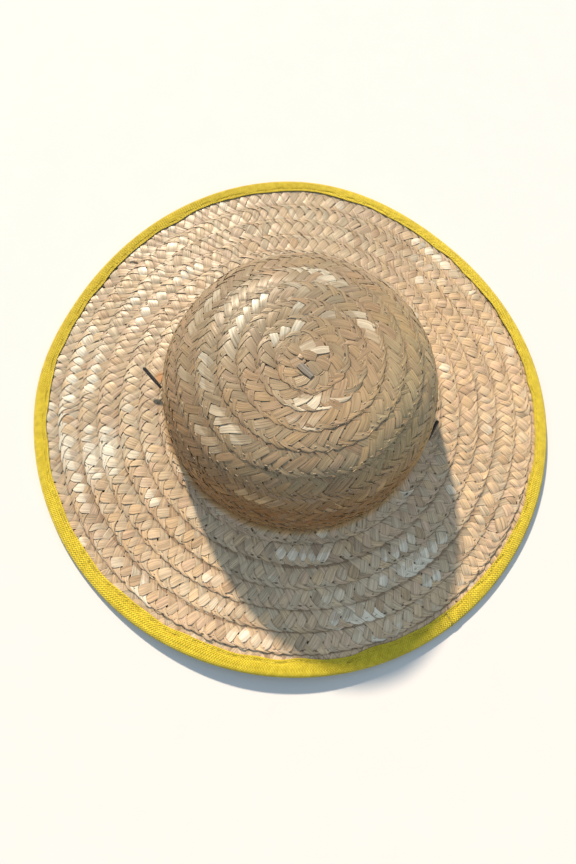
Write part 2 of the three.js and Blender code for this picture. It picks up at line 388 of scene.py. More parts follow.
# Straws are flat ribbons with a rounded back: places across, and the share of the half thickness there
RIBBON_ACROSS = np.array((-1, -0.62, 0, 0.62, 1.0))
RIBBON_BACK = np.array((0, 0.64, 1.0, 0.64, 0))
RIBBON_RING = len(RIBBON_ACROSS) + 1


def ribbon_object(name, tops, unders, values, material):
    """One mesh of many straws. tops is (straws, steps, 5, 3) and unders (straws, steps, 3)."""
    straws, steps = unders.shape[:2]
    points = np.concatenate((tops, unders[:, :, None]), axis=2).reshape(-1, 3)
    ring = RIBBON_RING
    base = (np.arange(straws) * steps * ring)[:, None, None]
    here, beside = (base + places for places in ring_places(steps, ring))
    walls = np.stack((here, here + ring, beside + ring, beside), axis=-1)
    first = np.array(((0, 1, 2, 5), (2, 3, 4, 5)))
    last = np.array(((0, 5, 2, 1), (2, 5, 4, 3))) + (steps - 1) * ring
    caps = np.concatenate((first, last))[None] + base
    quads = np.concatenate((walls.reshape(straws, -1, 4), caps), axis=1)

    left = np.array((0, 0.17, 0.34, 0.51, 0.68, 0.84))
    right = np.array((0.17, 0.34, 0.51, 0.68, 0.84, 1.0))
    low = 0.06 + 0.88 * np.arange(steps - 1) / (steps - 1)
    high = 0.06 + 0.88 * np.arange(1, steps) / (steps - 1)
    u = np.stack((left, left, right, right), axis=-1)[None].repeat(steps - 1, axis=0)
    v = np.stack((low, high, high, low), axis=-1)[:, None].repeat(ring, axis=1)
    wall_uv = np.stack((u, v), axis=-1).reshape(-1, 4, 2)
    cap_u = np.array((0.05, 0.3, 0.3, 0.05))
    cap_uv = [
        np.stack((cap_u + shift, np.array((0.01, 0.01, 0.05, 0.05)) + level), axis=-1)
        for level in (0, 0.935)
        for shift in (0, 0.4)
    ]
    one = np.concatenate((wall_uv, np.array(cap_uv)))
    one = one * np.array((0.94, 1.0)) + np.array((0.03, 0.0))
    bake_uv = tiled(one, straws, math.ceil(math.sqrt(straws * 2)))

    def margins(edges):
        first_place = edges[:, 0] % ring
        second_place = edges[:, 1] % ring
        return (first_place == second_place) & ((first_place == 0) | (first_place == 4))

    return mesh_object(name, points, quads.reshape(-1, 4), material, bake_uv, values, margins)


# Straws across the plait, the crossings at which they dive, and the shares of the width that those reach
CROWN_WEAVE = {"strands": 5, "dives": (1.5, 3.5), "bands": (0.33, 0.79)}
BRIM_WEAVE = {"strands": 4, "dives": (1.5, 2.5), "bands": (0.38, 0.79)}
# How much of a crossing a straw needs to dive under the next one
DIVE = 0.46
# Crossings from the margin over which a straw takes up its height in the weave
MARGIN_FADE = 0.36


def straw_steps(weave):
    """Shares of a straw's length at which it is drawn: close together at its dives and folds."""
    scale = 5 / weave["strands"]
    dive = weave["dives"][0] / weave["strands"]
    near = np.array((0, 0.025, 0.08, 0.16)) * scale
    around = dive + np.array((-0.045, -0.015, 0.015, 0.045)) * scale
    half = np.concatenate((near, around))
    return np.concatenate((half, (0.5,), 1 - half[::-1]))


def weave_height(met, weave, over_first):
    """Height of a straw as a share, at a place counted in crossings from the plait's inner margin."""
    first, second = weave["dives"]
    side = 1.0 if over_first else -1.0
    dived = smooth((met - first) / DIVE + 0.5) - smooth((met - second) / DIVE + 0.5)
    return side * (1 - 2 * dived)


def pillow(met, weave, over_first):
    """The arch of a straw over the ones that it crosses, as a share."""
    first, second = weave["dives"]
    if over_first:
        spans = ((-0.5, first), (second, weave["strands"] + 0.5))
    else:
        spans = ((first, second),)
    total = np.zeros(met.shape)
    for start, end in spans:
        share = np.clip((met - start) / (end - start), 0, 1)
        total += np.sin(math.pi * share)
    return total


# Directions in which the straws are painted palest, in degrees: painted glints of the sun on the brim and
# the crown, and painted reflections of the sky at the front right
BRIM_GLINTS = 202
FRONT_SKY_REFLECTIONS = -65
CROWN_GLINTS = 160
# Length past the crown's foot over which the plait takes on the brim's look
FOOT_FADE = 0.02


def brim_share(length):
    """Nought on the crown and one on the brim, eased at the crown's foot."""
    return smooth((length - CORNER_LENGTH) / FOOT_FADE)


def glint_share_at(azimuth, length):
    """How much paler the straws are painted for the glints of the sun and the reflections of the sky: most
    at the left and back left.
    """
    turn = np.minimum(turn_from(azimuth, BRIM_GLINTS), turn_from(azimuth, FRONT_SKY_REFLECTIONS) * 1.5 + 25)
    on_brim = brim_share(length)
    crown_turn = turn_from(azimuth, CROWN_GLINTS)
    return on_brim * smooth(1 - turn / 110) * 0.92 + (1 - on_brim) * smooth(1 - crown_turn / 120) * 0.9


# Runs of paler straws, partly pale straws and partly painted glints of the sun and reflections of the sky:
# azimuth in degrees, radius and half the run's length in millimetres, and gain
PALE_GLINT_RUNS = (
    (-155, 144, 38, 1.3),
    (-158, 131, 26, 0.9),
    (-137, 154, 14, 0.8),
    (-179, 143, 12, 0.8),
    (-120, 160, 14, 0.7),
    (143, 148, 18, 1.0),
    (136, 161, 14, 0.8),
    (119, 152, 16, 0.9),
    (69, 155, 14, 0.8),
    (-44, 109, 14, 1.2),
    (-45, 125, 16, 1.0),
    (-65, 148, 14, 1.2),
    (-80, 101, 16, 1.0),
    (-78, 26, 9, 1.4),
    (-155, 56, 14, 1.3),
    (-128, 54, 8, 0.9),
    (140, 46, 18, 1.3),
    (84, 50, 14, 1.2),
    (33, 48, 9, 0.8),
)
# Half the width of such a run
RUN_WIDTH = 0.0075


def pale_glint_run_at(spot):
    """How much a run of paler straws, partly painted glints and reflections, lightens the straws at the
    given points.
    """
    radius = np.linalg.norm(spot[:, :2], axis=1)
    azimuth = np.degrees(np.arctan2(spot[:, 1], spot[:, 0]))
    total = np.zeros(len(spot))
    for middle, run_radius, along, gain in PALE_GLINT_RUNS:
        arc = np.radians(turn_from(azimuth, middle)) * radius
        far = ((radius - run_radius / 1000) / RUN_WIDTH) ** 2 + (arc * 1000 / along) ** 2
        total += gain * np.exp(-far)
    return total


def straw_tones(noise, count, strands):
    """Colour draws for straws in the order they lie: straws of one strand share a tone for a stretch."""
    tones = np.zeros((count, 4))
    for strand in range(strands):
        members = np.arange(strand, count, strands)
        position = 0
        while position < len(members):
            stretch = int(noise.draw.integers(3, 9))
            tones[members[position : position + stretch], :3] = noise.draw.random(3)
            position += stretch
    own = noise.draw.random((count, 3))
    tones[:, :3] = tones[:, :3] * 0.6 + own * 0.4
    return tones


# Play of the single straws: ends of an even draw, or middle and spread of a normal one
STRAW_PLAY = {
    "narrow": (0.82, 0.98),
    "shift": (0, 0.028),
    "raised": (0, 0.00004),
    "pitched": (0, 0.00012),
    "rolled": (0.00012, 0.0001),
    "ragged": (0, 0.0003),
    "arch": (0.5, 1.6),
    "paler": (0, 0.2),
}
# Strength and span of the patches of paler straws
PATCHES = (0.62, 0.034)
# Reach of the dip that the seam pulls to each side of its stitches
SEAM_REACH = 0.0008


def plait_straws(plait, path, weave, noise):
    """The straws of the whole plait, both ways across it, with the values that colour them."""
    strands = weave["strands"]
    spacing = plait.straw_spacing
    count = int(path.length / spacing) - strands
    drawn = straw_steps(weave)
    steps = len(drawn)
    bands = np.array((0, *weave["dives"], strands)), np.array((0, *weave["bands"], 1))
    stitch_line = path.width / 2 - plait.seam_inset
    turned = strands // 2
    families = []
    tones = straw_tones(noise, count + strands, strands)
    for direction in (1, -1):
        over_first = direction > 0
        number = np.arange(count) + (0 if over_first else turned)
        narrow = noise.draw.uniform(*STRAW_PLAY["narrow"], count)[:, None, None]
        shift, raised, pitched, rolled = (
            noise.draw.normal(*STRAW_PLAY[key], count)[:, None, None]
            for key in ("shift", "raised", "pitched", "rolled")
        )
        offset = RIBBON_ACROSS[None, None] * narrow / 2 + shift
        place = drawn[None, :, None] * strands
        skew = smooth(np.minimum(place, strands - place) / 1.3)
        crossing = np.clip(place - direction * offset * skew, 0, strands)
        met = crossing + direction * offset
        even = spacing * (number[:, None, None] + offset + direction * crossing / 2)
        end = np.minimum(crossing, strands - crossing)
        ragged = noise.draw.normal(*STRAW_PLAY["ragged"], count)[:, None, None]
        margin = np.exp(-end / 0.3) * ((2 * offset) ** 2 * plait.scallop + ragged)
        across = path.width * (np.interp(crossing, *bands) - 0.5)
        give = np.sin(math.pi * crossing / strands)
        along = even + path.loose_along(even) + give * path.loose_turn(even)
        across = across + give * path.loose_across(even)
        across = across - np.sign(across) * margin
        level = path.row_length(even)
        on_brim = brim_share(level)
        free = smooth(end / MARGIN_FADE)
        height = weave_height(met, weave, over_first) * free * plait.rise * (0.6 + 0.4 * on_brim)
        sewn = plait.seam_depth * np.exp(-(((across - stitch_line) / SEAM_REACH) ** 2))
        lift = height + raised + rolled * RIBBON_ACROSS - sewn
        arch = plait.pillow * (0.4 + 0.6 * on_brim) * (0.3 if over_first else 1.0)
        arch = arch * noise.draw.uniform(*STRAW_PLAY["arch"], count)[:, None, None]
        lift = lift + pillow(met, weave, over_first) * arch * free
        lift = lift + pitched * (crossing / strands - 0.5) * free
        tops, _ = path.place(along, across, lift + plait.straw_back * RIBBON_BACK)
        below = plait.straw_back - plait.straw_thickness
        unders, _ = path.place(along[:, :, 2], across[:, :, 2], lift[:, :, 2] + below)

        straw_length = math.hypot(path.width, spacing * strands / 2)
        shape = (count, steps, 5)
        run = np.broadcast_to(crossing / strands * straw_length, shape)
        wide = np.broadcast_to(offset * plait.straw_half * 2, shape)
        own = np.broadcast_to(noise.draw.random(count)[:, None, None], shape)
        strand = np.stack((run, wide, own), axis=-1)
        clear = path.clear_of_row(along, across)
        row = np.stack((np.broadcast_to(along, shape), np.broadcast_to(across, shape), clear), axis=-1)
        tone = np.array(tones[number])
        middle = along[:, steps // 2, 2]
        azimuth = np.interp(middle, path.along, path.azimuth)
        glint_share = glint_share_at(azimuth, path.row_length(middle))
        patch = noise.run(path.length, *PATCHES)(middle) + noise.draw.normal(*STRAW_PLAY["paler"], count)
        patch = patch + pale_glint_run_at(path.place(middle, 0, 0)[0])
        # One family of straws is painted paler than the other, as painted glints on one arm of each V, and
        # more where the painted glints fall
        bound = (1.55 if over_first else 0.95) - 0.5 * glint_share
        tone[:, 1] = np.clip(0.72 + 0.35 * (patch - bound), 0, 1)
        tone = tone[:, None, None]
        families.append(
            {
                "tops": tops,
                "unders": unders,
                "strand": np.concatenate((strand, strand[:, :, 2:3]), axis=2),
                "row": np.concatenate((row, row[:, :, 2:3]), axis=2),
                "tone": np.broadcast_to(tone, (count, steps, RIBBON_RING, 4)),
                "level": path.row_length(middle),
            }
        )
    return {key: np.concatenate([family[key] for family in families]) for key in families[0]}


def value_set(straws, chosen=slice(None)):
    """The point values of chosen straws, as mesh attributes."""
    return {
        "strand": ("FLOAT_VECTOR", straws["strand"][chosen].reshape(-1, 3)),
        "row": ("FLOAT_VECTOR", straws["row"][chosen].reshape(-1, 3)),
        "tone": ("FLOAT_COLOR", straws["tone"][chosen].reshape(-1, 4)),
    }


# Sides of a thread, and the share of its width at its two ends
THREAD_SIDES = 6
THREAD_TAPER = 0.55


def tube(name, lines, radius, squash, material):
    """One mesh of many short threads. lines holds their points and normals, each (threads, steps, 3)."""
    points, normals = lines
    threads, steps = points.shape[:2]
    sides = THREAD_SIDES
    along = np.gradient(points, axis=1)
    along /= np.linalg.norm(along, axis=-1, keepdims=True)
    side = np.cross(along, normals)
    side /= np.linalg.norm(side, axis=-1, keepdims=True)
    up = np.cross(side, along)
    turn = np.arange(sides) / sides * 2 * math.pi
    taper = np.ones(steps)
    taper[0] = taper[-1] = THREAD_TAPER
    reach = (radius * taper)[None, :, None, None]
    ring = (
        points[:, :, None]
        + side[:, :, None] * np.cos(turn)[None, None, :, None] * reach
        + up[:, :, None] * np.sin(turn)[None, None, :, None] * reach * squash
    )
    base = (np.arange(threads) * steps * sides)[:, None, None]
    here, beside = (base + places for places in ring_places(steps, sides))
    walls = np.stack((here, beside, beside + sides, here + sides), axis=-1).reshape(threads, -1, 4)
    near = np.array(((0, 3, 2, 1), (0, 5, 4, 3)))
    far = near[:, ::-1] + (steps - 1) * sides
    caps = np.concatenate((near, far))[None] + base
    quads = np.concatenate((walls, caps), axis=1)
    step_v = 0.86 / (steps - 1)
    left = np.arange(sides) / sides
    right = left + 1 / sides
    u = np.stack((left, right, right, left), axis=-1)[None].repeat(steps - 1, axis=0)
    v_low = 0.07 + step_v * np.arange(steps - 1)
    v = np.stack((v_low, v_low, v_low + step_v, v_low + step_v), axis=-1)[:, None].repeat(sides, axis=1)
    wall_uv = np.stack((u, v), axis=-1).reshape(-1, 4, 2)
    cap_uv = []
    for level in (0.01, 0.94):
        for place in range(len(near)):
            corner_u = np.array((0.05, 0.4, 0.4, 0.05)) + 0.5 * place
            cap_uv.append(np.stack((corner_u, np.array((0, 0, 0.045, 0.045)) + level), axis=-1))
    one = np.concatenate((wall_uv, np.array(cap_uv))) * np.array((0.92, 1)) + np.array((0.04, 0))
    bake_uv = tiled(one, threads, math.ceil(math.sqrt(threads)))
    stretch = np.linalg.norm(np.diff(points, axis=1), axis=-1)
    length = np.concatenate((np.zeros((threads, 1)), np.cumsum(stretch, axis=1)), axis=1)
    thread = np.stack(
        (
            np.broadcast_to(length[:, :, None], ring.shape[:3]),
            np.broadcast_to(turn[None, None] / (2 * math.pi), ring.shape[:3]),
            np.broadcast_to(np.arange(threads)[:, None, None] * 0.37 % 1.0, ring.shape[:3]),
        ),
        axis=-1,
    )
    values = {"strand": ("FLOAT_VECTOR", thread.reshape(-1, 3))}
    return mesh_object(name, ring.reshape(-1, 3), quads.reshape(-1, 4), material, bake_uv, values)


class NodeSheet:
    """Short calls that add nodes to a material or group and join them."""

    def __init__(self, tree):
        self.tree = tree

    def add(self, kind, sources=None, **settings):
        """A new node with its settings made and its named or numbered inputs fed."""
        node = self.tree.nodes.new(kind)
        for key, value in settings.items():
            setattr(node, key, value)
        for key, source in (sources or {}).items():
            self.feed(node.inputs[key], source)
        return node

    def feed(self, socket, source):
        if isinstance(source, bpy.types.NodeSocket):
            self.tree.links.new(source, socket)
        else:
            socket.default_value = source

    def math(self, operation, *sources):
        return self.add("ShaderNodeMath", dict(enumerate(sources)), operation=operation).outputs[0]

    def times(self, first, second):
        return self.math("MULTIPLY", first, second)

    def over(self, first, second):
        return self.math("DIVIDE", first, second)

    def plus(self, first, second):
        return self.math("ADD", first, second)

    def minus(self, first, second):
        return self.math("SUBTRACT", first, second)

    def flat_length(self, x, y):
        return self.math("SQRT", self.plus(self.math("POWER", x, 2.0), self.math("POWER", y, 2.0)))

    def spread(self, value, low, high, to_low=0.0, to_high=1.0, smoothed=True):
        sources = {"Value": value, "From Min": low, "From Max": high, "To Min": to_low, "To Max": to_high}
        kind = "SMOOTHSTEP" if smoothed else "LINEAR"
        return self.add("ShaderNodeMapRange", sources, interpolation_type=kind).outputs["Result"]

    def mix(self, factor, first, second, blend="MIX"):
        node = self.add("ShaderNodeMix", data_type="RGBA", blend_type=blend, clamp_factor=True)
        self.feed(node.inputs["Factor"], factor)
        colours = [socket for socket in node.inputs if socket.type == "RGBA"]
        self.feed(colours[0], first)
        self.feed(colours[1], second)
        return next(socket for socket in node.outputs if socket.type == "RGBA")

    def noise(self, place, detail, rough):
        sources = {"Vector": place, "Scale": 1.0, "Detail": detail, "Roughness": rough}
        return self.add("ShaderNodeTexNoise", sources, noise_dimensions="3D").outputs["Fac"]

    def scaled(self, vector, sizes):
        return self.add("ShaderNodeVectorMath", {0: vector, 1: sizes}, operation="MULTIPLY").outputs[0]

    def apart(self, vector):
        return self.add("ShaderNodeSeparateXYZ", {0: vector}).outputs

    def joined(self, x, y, z):
        return self.add("ShaderNodeCombineXYZ", {0: x, 1: y, 2: z}).outputs[0]

    def value(self, name):
        return self.add("ShaderNodeAttribute", attribute_name=name).outputs

    def bump(self, height, strength, distance):
        sources = {"Strength": strength, "Distance": distance, "Height": height}
        return self.add("ShaderNodeBump", sources).outputs["Normal"]


def effect_group(name, inputs, outputs):
    """A new node group with the named sockets. Returns the group, its sheet and its inner sockets."""
    group = bpy.data.node_groups.new(name, "ShaderNodeTree")
    for socket, kind, default in inputs:
        made = group.interface.new_socket(name=socket, in_out="INPUT", socket_type=kind)
        if default is not None:
            made.default_value = default
    for socket, kind in outputs:
        group.interface.new_socket(name=socket, in_out="OUTPUT", socket_type=kind)
    sheet = NodeSheet(group)
    inner = sheet.add("NodeGroupInput").outputs
    outer = sheet.add("NodeGroupOutput").inputs
    return group, sheet, inner, outer


def fibre_grain():
    """Fine lines along a straw or thread, from its run, width and seed."""
    group, sheet, inner, outer = effect_group(
        "Fibre Grain",
        (
            ("Strand", "NodeSocketVector", None),
            ("Line Width", "NodeSocketFloat", 0.0003),
            ("Line Length", "NodeSocketFloat", 0.012),
        ),
        (("Lines", "NodeSocketFloat"), ("Streaks", "NodeSocketFloat"), ("Height", "NodeSocketFloat")),
    )
    run, wide, own = sheet.apart(inner["Strand"])
    seed = sheet.times(own, 91.0)
    across = sheet.over(wide, inner["Line Width"])
    along = sheet.over(run, inner["Line Length"])
    lines = sheet.noise(sheet.joined(along, across, seed), 3.0, 0.6)
    wider = sheet.joined(along, sheet.times(across, 0.3), sheet.plus(seed, 17.0))
    streaks = sheet.noise(wider, 1.0, 0.5)
    outer_lines = sheet.spread(lines, 0.3, 0.7)
    outer_streaks = sheet.spread(streaks, 0.34, 0.66)
    sheet.feed(outer["Lines"], outer_lines)
    sheet.feed(outer["Streaks"], outer_streaks)
    height = sheet.math("MULTIPLY_ADD", outer_streaks, 0.6, sheet.times(outer_lines, 0.4))
    sheet.feed(outer["Height"], height)
    return group


def cloth_weave():
    """A plain weave of threads over two lengths in metres."""
    group, sheet, inner, outer = effect_group(
        "Cloth Weave",
        (
            ("Place", "NodeSocketVector", None),
            ("Thread", "NodeSocketFloat", 0.0006),
        ),
        (("Threads", "NodeSocketFloat"), ("Height", "NodeSocketFloat")),
    )
    x, y, _ = sheet.apart(inner["Place"])
    sine_x, sine_y = (
        sheet.math("SINE", sheet.times(sheet.over(place, inner["Thread"]), math.pi)) for place in (x, y)
    )
    share = sheet.spread(sheet.times(sine_x, sine_y), -0.25, 0.25)
    weft = sheet.times(sheet.math("ABSOLUTE", sine_y), share)
    warp = sheet.times(sheet.math("ABSOLUTE", sine_x), sheet.minus(1.0, share))
    height = sheet.plus(weft, warp)
    sheet.feed(outer["Threads"], share)
    sheet.feed(outer["Height"], height)
    return group


def settled_dust():
    """Soft blotches and fine specks of dust and wear over a surface, from its place in metres."""
    group, sheet, inner, outer = effect_group(
        "Settled Dust",
        (
            ("Place", "NodeSocketVector", None),
            ("Blotch Size", "NodeSocketFloat", 0.03),
            ("Speck Size", "NodeSocketFloat", 0.0012),
        ),
        (("Blotches", "NodeSocketFloat"), ("Specks", "NodeSocketFloat")),
    )
    for name, size, detail, rough, low, high in (
        ("Blotches", "Blotch Size", 3.0, 0.6, 0.3, 0.7),
        ("Specks", "Speck Size", 1.0, 0.5, 0.66, 0.78),
    ):
        sources = {0: inner["Place"], "Scale": sheet.over(1.0, inner[size])}
        place = sheet.add("ShaderNodeVectorMath", sources, operation="SCALE")
        sheet.feed(outer[name], sheet.spread(sheet.noise(place.outputs[0], detail, rough), low, high))
    return group


def shared_group(name):
    """One of the shared effects, made at its first use."""
    makers = {"Fibre Grain": fibre_grain, "Cloth Weave": cloth_weave, "Settled Dust": settled_dust}
    return bpy.data.node_groups.get(name) or makers[name]()


class Finish(NodeSheet):
    """A new material with its shader, its base colour, and calls that place the shared effects."""

    def __init__(self, name, **settings):
        self.base = None
        self.material = bpy.data.materials.new(name)
        self.material.use_nodes = True
        super().__init__(self.material.node_tree)
        self.tree.nodes.clear()
        self.shader = self.add("ShaderNodeBsdfPrincipled")
        output = self.add("ShaderNodeOutputMaterial")
        self.tree.links.new(self.shader.outputs["BSDF"], output.inputs["Surface"])
        for key, value in settings.items():
            self.shader.inputs[key.replace("_", " ")].default_value = value

    def effect(self, name, **values):
        node = self.add("ShaderNodeGroup", node_tree=shared_group(name))
        for key, value in values.items():
            self.feed(node.inputs[key.replace("_", " ")], value)
        return node.outputs

    def place(self):
        return self.add("ShaderNodeTexCoord").outputs["Object"]

    def cover(self, amount, colour, blend="MIX"):
        """Lays a share of a colour over the base colour."""
        self.base = self.mix(amount, self.base, paint(colour), blend)

    def set(self, **sources):
        for key, source in sources.items():
            self.feed(self.shader.inputs[key.replace("_", " ")], source)


def paint(colour):
    return (*colour[:3], 1.0)


# Middle of the stained place beside the left cord hole, and where it starts and ends to fade
STAIN = (-0.0925, -0.0018, 0.023)
STAIN_REACH = (0.0032, 0.0068)
# The crown's darker tone comes in between these radii and heights; painted shade at its front and painted
# light at its right come in between these heights and places from back to front
CROWN_EDGE = (0.0885, 0.084)
LOW_WALL = (0.102, 0.05)
LOW_FRONT_SHADE = (0.092, 0.062)
FRONT_WALL_SHADE = (0.01, -0.06)
RIGHT_SIDE = (0.02, 0.08)
# How strongly x and y turn a place away from the sun, and the least reach that they are divided by, for the
# painted light and shade that darken the side towards the sun and lighten the side away from it
PAINTED_LIGHT_WAY = (0.71, 0.7)
LEAST_REACH = 0.05
# The seam's needle holes, dark with painted shade in the gaps between the straws: how far they stray along
# the seam, and their least and greatest size
HOLE_PLAY = 0.0018
HOLE_SIZES = (0.0001, 0.0008)


def straw_finish(plait):
    """Sun-dried split straw: glossy, with fine lines and a tone for each straw; with painted shade at the
    straws' margins, past the edge of each row, along the row lines and in the seam's holes, and painted
    light and shade by the side that faces the sun.
    """
    finish = Finish("Split Straw", IOR=1.5, Specular_IOR_Level=0.4, Coat_Roughness=0.3)
    strand = finish.value("strand")["Vector"]
    row = finish.value("row")["Vector"]
    tone = finish.value("tone")
    warm, light, grey = finish.apart(tone["Vector"])
    grain = finish.effect("Fibre Grain", Strand=strand, Line_Width=0.00022, Line_Length=0.014)
    dust = finish.effect("Settled Dust", Place=finish.place(), Blotch_Size=0.035, Speck_Size=0.0011)
    _, wide, own = finish.apart(strand)
    along, across, clear = finish.apart(row)

    warmer = finish.spread(warm, 0.25, 0.75)
    finish.base = finish.mix(warmer, paint(plait.straw_tan), paint(plait.straw_gold))
    finish.cover(finish.spread(grey, 0.55, 0.72, 0.0, 0.5), plait.straw_grey)
    finish.cover(finish.spread(grey, 0.4, 0.22, 0.0, 0.6), plait.straw_rose)
    # A pale straw is painted pale on the outer part of its arm, as painted light on the end that faces the
    # sun, and keeps about a third of that paleness on its inner part, as painted shade
    lit_end_start = finish.math("MULTIPLY_ADD", own, 0.006, -0.0035)
    painted_lit_end = finish.spread(across, lit_end_start, finish.plus(lit_end_start, 0.0016), 0.35, 1.0)
    pale = finish.times(finish.spread(light, 0.55, 0.88, 0.0, 0.94), painted_lit_end)
    finish.cover(pale, plait.straw_cream)
    x, y, z = finish.apart(finish.place())
    reach = finish.flat_length(x, y)
    # The whole crown is darker, less so where its straws are pale
    crown_dimming = finish.spread(reach, *CROWN_EDGE)
    mix_share = finish.times(crown_dimming, finish.math("MULTIPLY_ADD", pale, -0.45, 1.0))
    finish.cover(mix_share, plait.crown_dimming, "MULTIPLY")
    # Painted light and shade by the side that faces the sun: darker towards the sun, lighter away from it
    # and on the crown's right, and greener and bluer towards the sun
    turned = finish.minus(finish.times(y, PAINTED_LIGHT_WAY[1]), finish.times(x, PAINTED_LIGHT_WAY[0]))
    facing = finish.over(turned, finish.math("MAXIMUM", reach, LEAST_REACH))
    painted_light = finish.spread(facing, -1.0, 1.0, 1.27, 0.75)
    right_side = finish.times(crown_dimming, finish.spread(x, *RIGHT_SIDE))
    painted_light = finish.times(painted_light, finish.math("MULTIPLY_ADD", right_side, 0.3, 1.0))
    painted_light = finish.times(painted_light, finish.spread(facing, 0.75, 1.0, 1.0, 0.88))
    greener = finish.times(painted_light, finish.spread(facing, -0.1, 0.6, 1.0, 1.1))
    bluer = finish.times(painted_light, finish.spread(facing, -0.1, 0.6, 1.0, 1.2))
    finish.base = finish.mix(1.0, finish.base, finish.joined(painted_light, greener, bluer), "MULTIPLY")
    finish.cover(right_side, plait.greened, "MULTIPLY")
    # Darker and browner towards the crown's foot, and more so on the crown's front as painted shade, on the
    # side away from the sun
    low_wall = finish.times(crown_dimming, finish.spread(z, *LOW_WALL))
    finish.cover(low_wall, plait.foot_tone_and_shade, "MULTIPLY")
    front_wall_shade = finish.times(low_wall, finish.spread(y, *FRONT_WALL_SHADE))
    finish.cover(front_wall_shade, plait.foot_tone_and_shade, "MULTIPLY")
    low_front_shade = finish.times(finish.spread(z, *LOW_FRONT_SHADE), finish.spread(y, 0.0, -0.06))
    low_front_shade = finish.times(low_front_shade, finish.spread(reach, 0.09, 0.088))
    finish.cover(low_front_shade, plait.foot_tone_and_shade, "MULTIPLY")
    finish.cover(finish.spread(own, 0.9, 0.93, 0.0, 0.45), plait.straw_brown)
    finish.cover(finish.times(dust["Blotches"], 0.22), plait.straw_brown)
    split = finish.spread(own, 0.45, 0.75, 0.86, 0.6)
    lines = finish.spread(grain["Lines"], 0.0, 0.8, split, 1.1)
    streaks = finish.spread(grain["Streaks"], 0.0, 1.0, 0.84, 1.12)
    shade = finish.times(lines, streaks)
    # Painted shade along each straw's margins, deeper on the brim than on the crown, and towards the plait's
    # margins where it folds
    margin_shade_depth = finish.spread(reach, 0.06, 0.094, 0.86, 0.52)
    inside = plait.straw_half - 0.0004
    margin = finish.spread(finish.math("ABSOLUTE", wide), inside, plait.straw_half, 1.0, margin_shade_depth)
    edge = plait.width / 2
    fold_shade = finish.spread(finish.math("ABSOLUTE", across), edge - 0.002, edge, 1.0, 0.86)
    shade = finish.times(shade, finish.times(margin, fold_shade))
    # Painted shade on the plait just past the edge of the row that lies on it
    shade = finish.times(shade, finish.spread(clear, 0.0, 0.004, 0.9, 1.0))
    # Painted shadow of each row's edge along the row line, in brown: strongest at the front, the side away
    # from the sun
    frontal = finish.over(y, finish.math("MAXIMUM", reach, LEAST_REACH))
    line = finish.spread(frontal, 0.2, -0.9, 0.2, 0.95)
    line = finish.times(line, finish.spread(own, 0.1, 0.6, 0.4, 1.0))
    line = finish.times(line, finish.spread(clear, 0.0001, 0.0011, 1.0, 0.0))
    finish.cover(line, plait.straw_brown)

    count = finish.over(along, plait.stitch_pitch)
    part = finish.times(finish.minus(finish.math("FRACT", count), 0.5), plait.stitch_pitch)
    sources = {"W": finish.math("FLOOR", count)}
    drawn = finish.add("ShaderNodeTexWhiteNoise", sources, noise_dimensions="1D")
    ahead, aside, size = finish.apart(drawn.outputs["Color"])
    ahead = finish.spread(ahead, 0.0, 1.0, -HOLE_PLAY, HOLE_PLAY, False)
    aside = finish.spread(aside, 0.0, 1.0, 0.0012, plait.seam_inset, False)
    hole_x = finish.times(finish.minus(part, ahead), 0.5)
    hole_y = finish.minus(across, finish.minus(edge, aside))
    hole = finish.flat_length(hole_x, hole_y)
    wide_hole = finish.spread(size, 0.4, 1.0, *HOLE_SIZES)
    pierced = finish.spread(hole, finish.times(wide_hole, 0.4), wide_hole)
    # Painted shade in the seam's holes
    shade = finish.times(shade, finish.spread(pierced, 0.0, 1.0, 0.22, 1.0))
    tint = finish.joined(shade, shade, shade)
    finish.base = finish.mix(1.0, finish.base, tint, "MULTIPLY")
    spot = finish.add("ShaderNodeVectorMath", {0: finish.place(), 1: STAIN}, operation="DISTANCE")
    reached = finish.math("MULTIPLY_ADD", dust["Specks"], 0.001, spot.outputs["Value"])
    finish.cover(finish.spread(reached, *STAIN_REACH, 0.9, 0.0), plait.straw_stain)
    finish.cover(finish.times(dust["Specks"], 0.35), plait.straw_brown)

    rough = finish.spread(grain["Streaks"], 0.0, 1.0, plait.gloss + 0.12, plait.gloss)
    rough = finish.plus(rough, finish.times(own, 0.14))
    height = finish.plus(grain["Height"], finish.times(pierced, 1.5))
    normal = finish.bump(height, 0.55, 0.00012)
    finish.set(Base_Color=finish.base, Roughness=rough, Normal=normal)
    finish.set(Coat_Weight=finish.spread(light, 0.45, 0.95, 0.05, 0.36))
    return finish.material


def grey_straw_finish(plait):
    """Straw that the weather has turned grey."""
    finish = Finish("Weathered Straw", Roughness=0.6)
    strand = finish.value("strand")["Vector"]
    grain = finish.effect("Fibre Grain", Strand=strand, Line_Width=0.0003, Line_Length=0.01)
    dust = finish.effect("Settled Dust", Place=finish.place(), Blotch_Size=0.005, Speck_Size=0.0008)
    finish.base = finish.mix(grain["Streaks"], paint(plait.grey_dark), paint(plait.grey_light))
    finish.cover(finish.times(dust["Blotches"], 0.5), plait.grey_dark)
    finish.set(Base_Color=finish.base, Normal=finish.bump(grain["Height"], 0.5, 0.0001))
    return finish.material


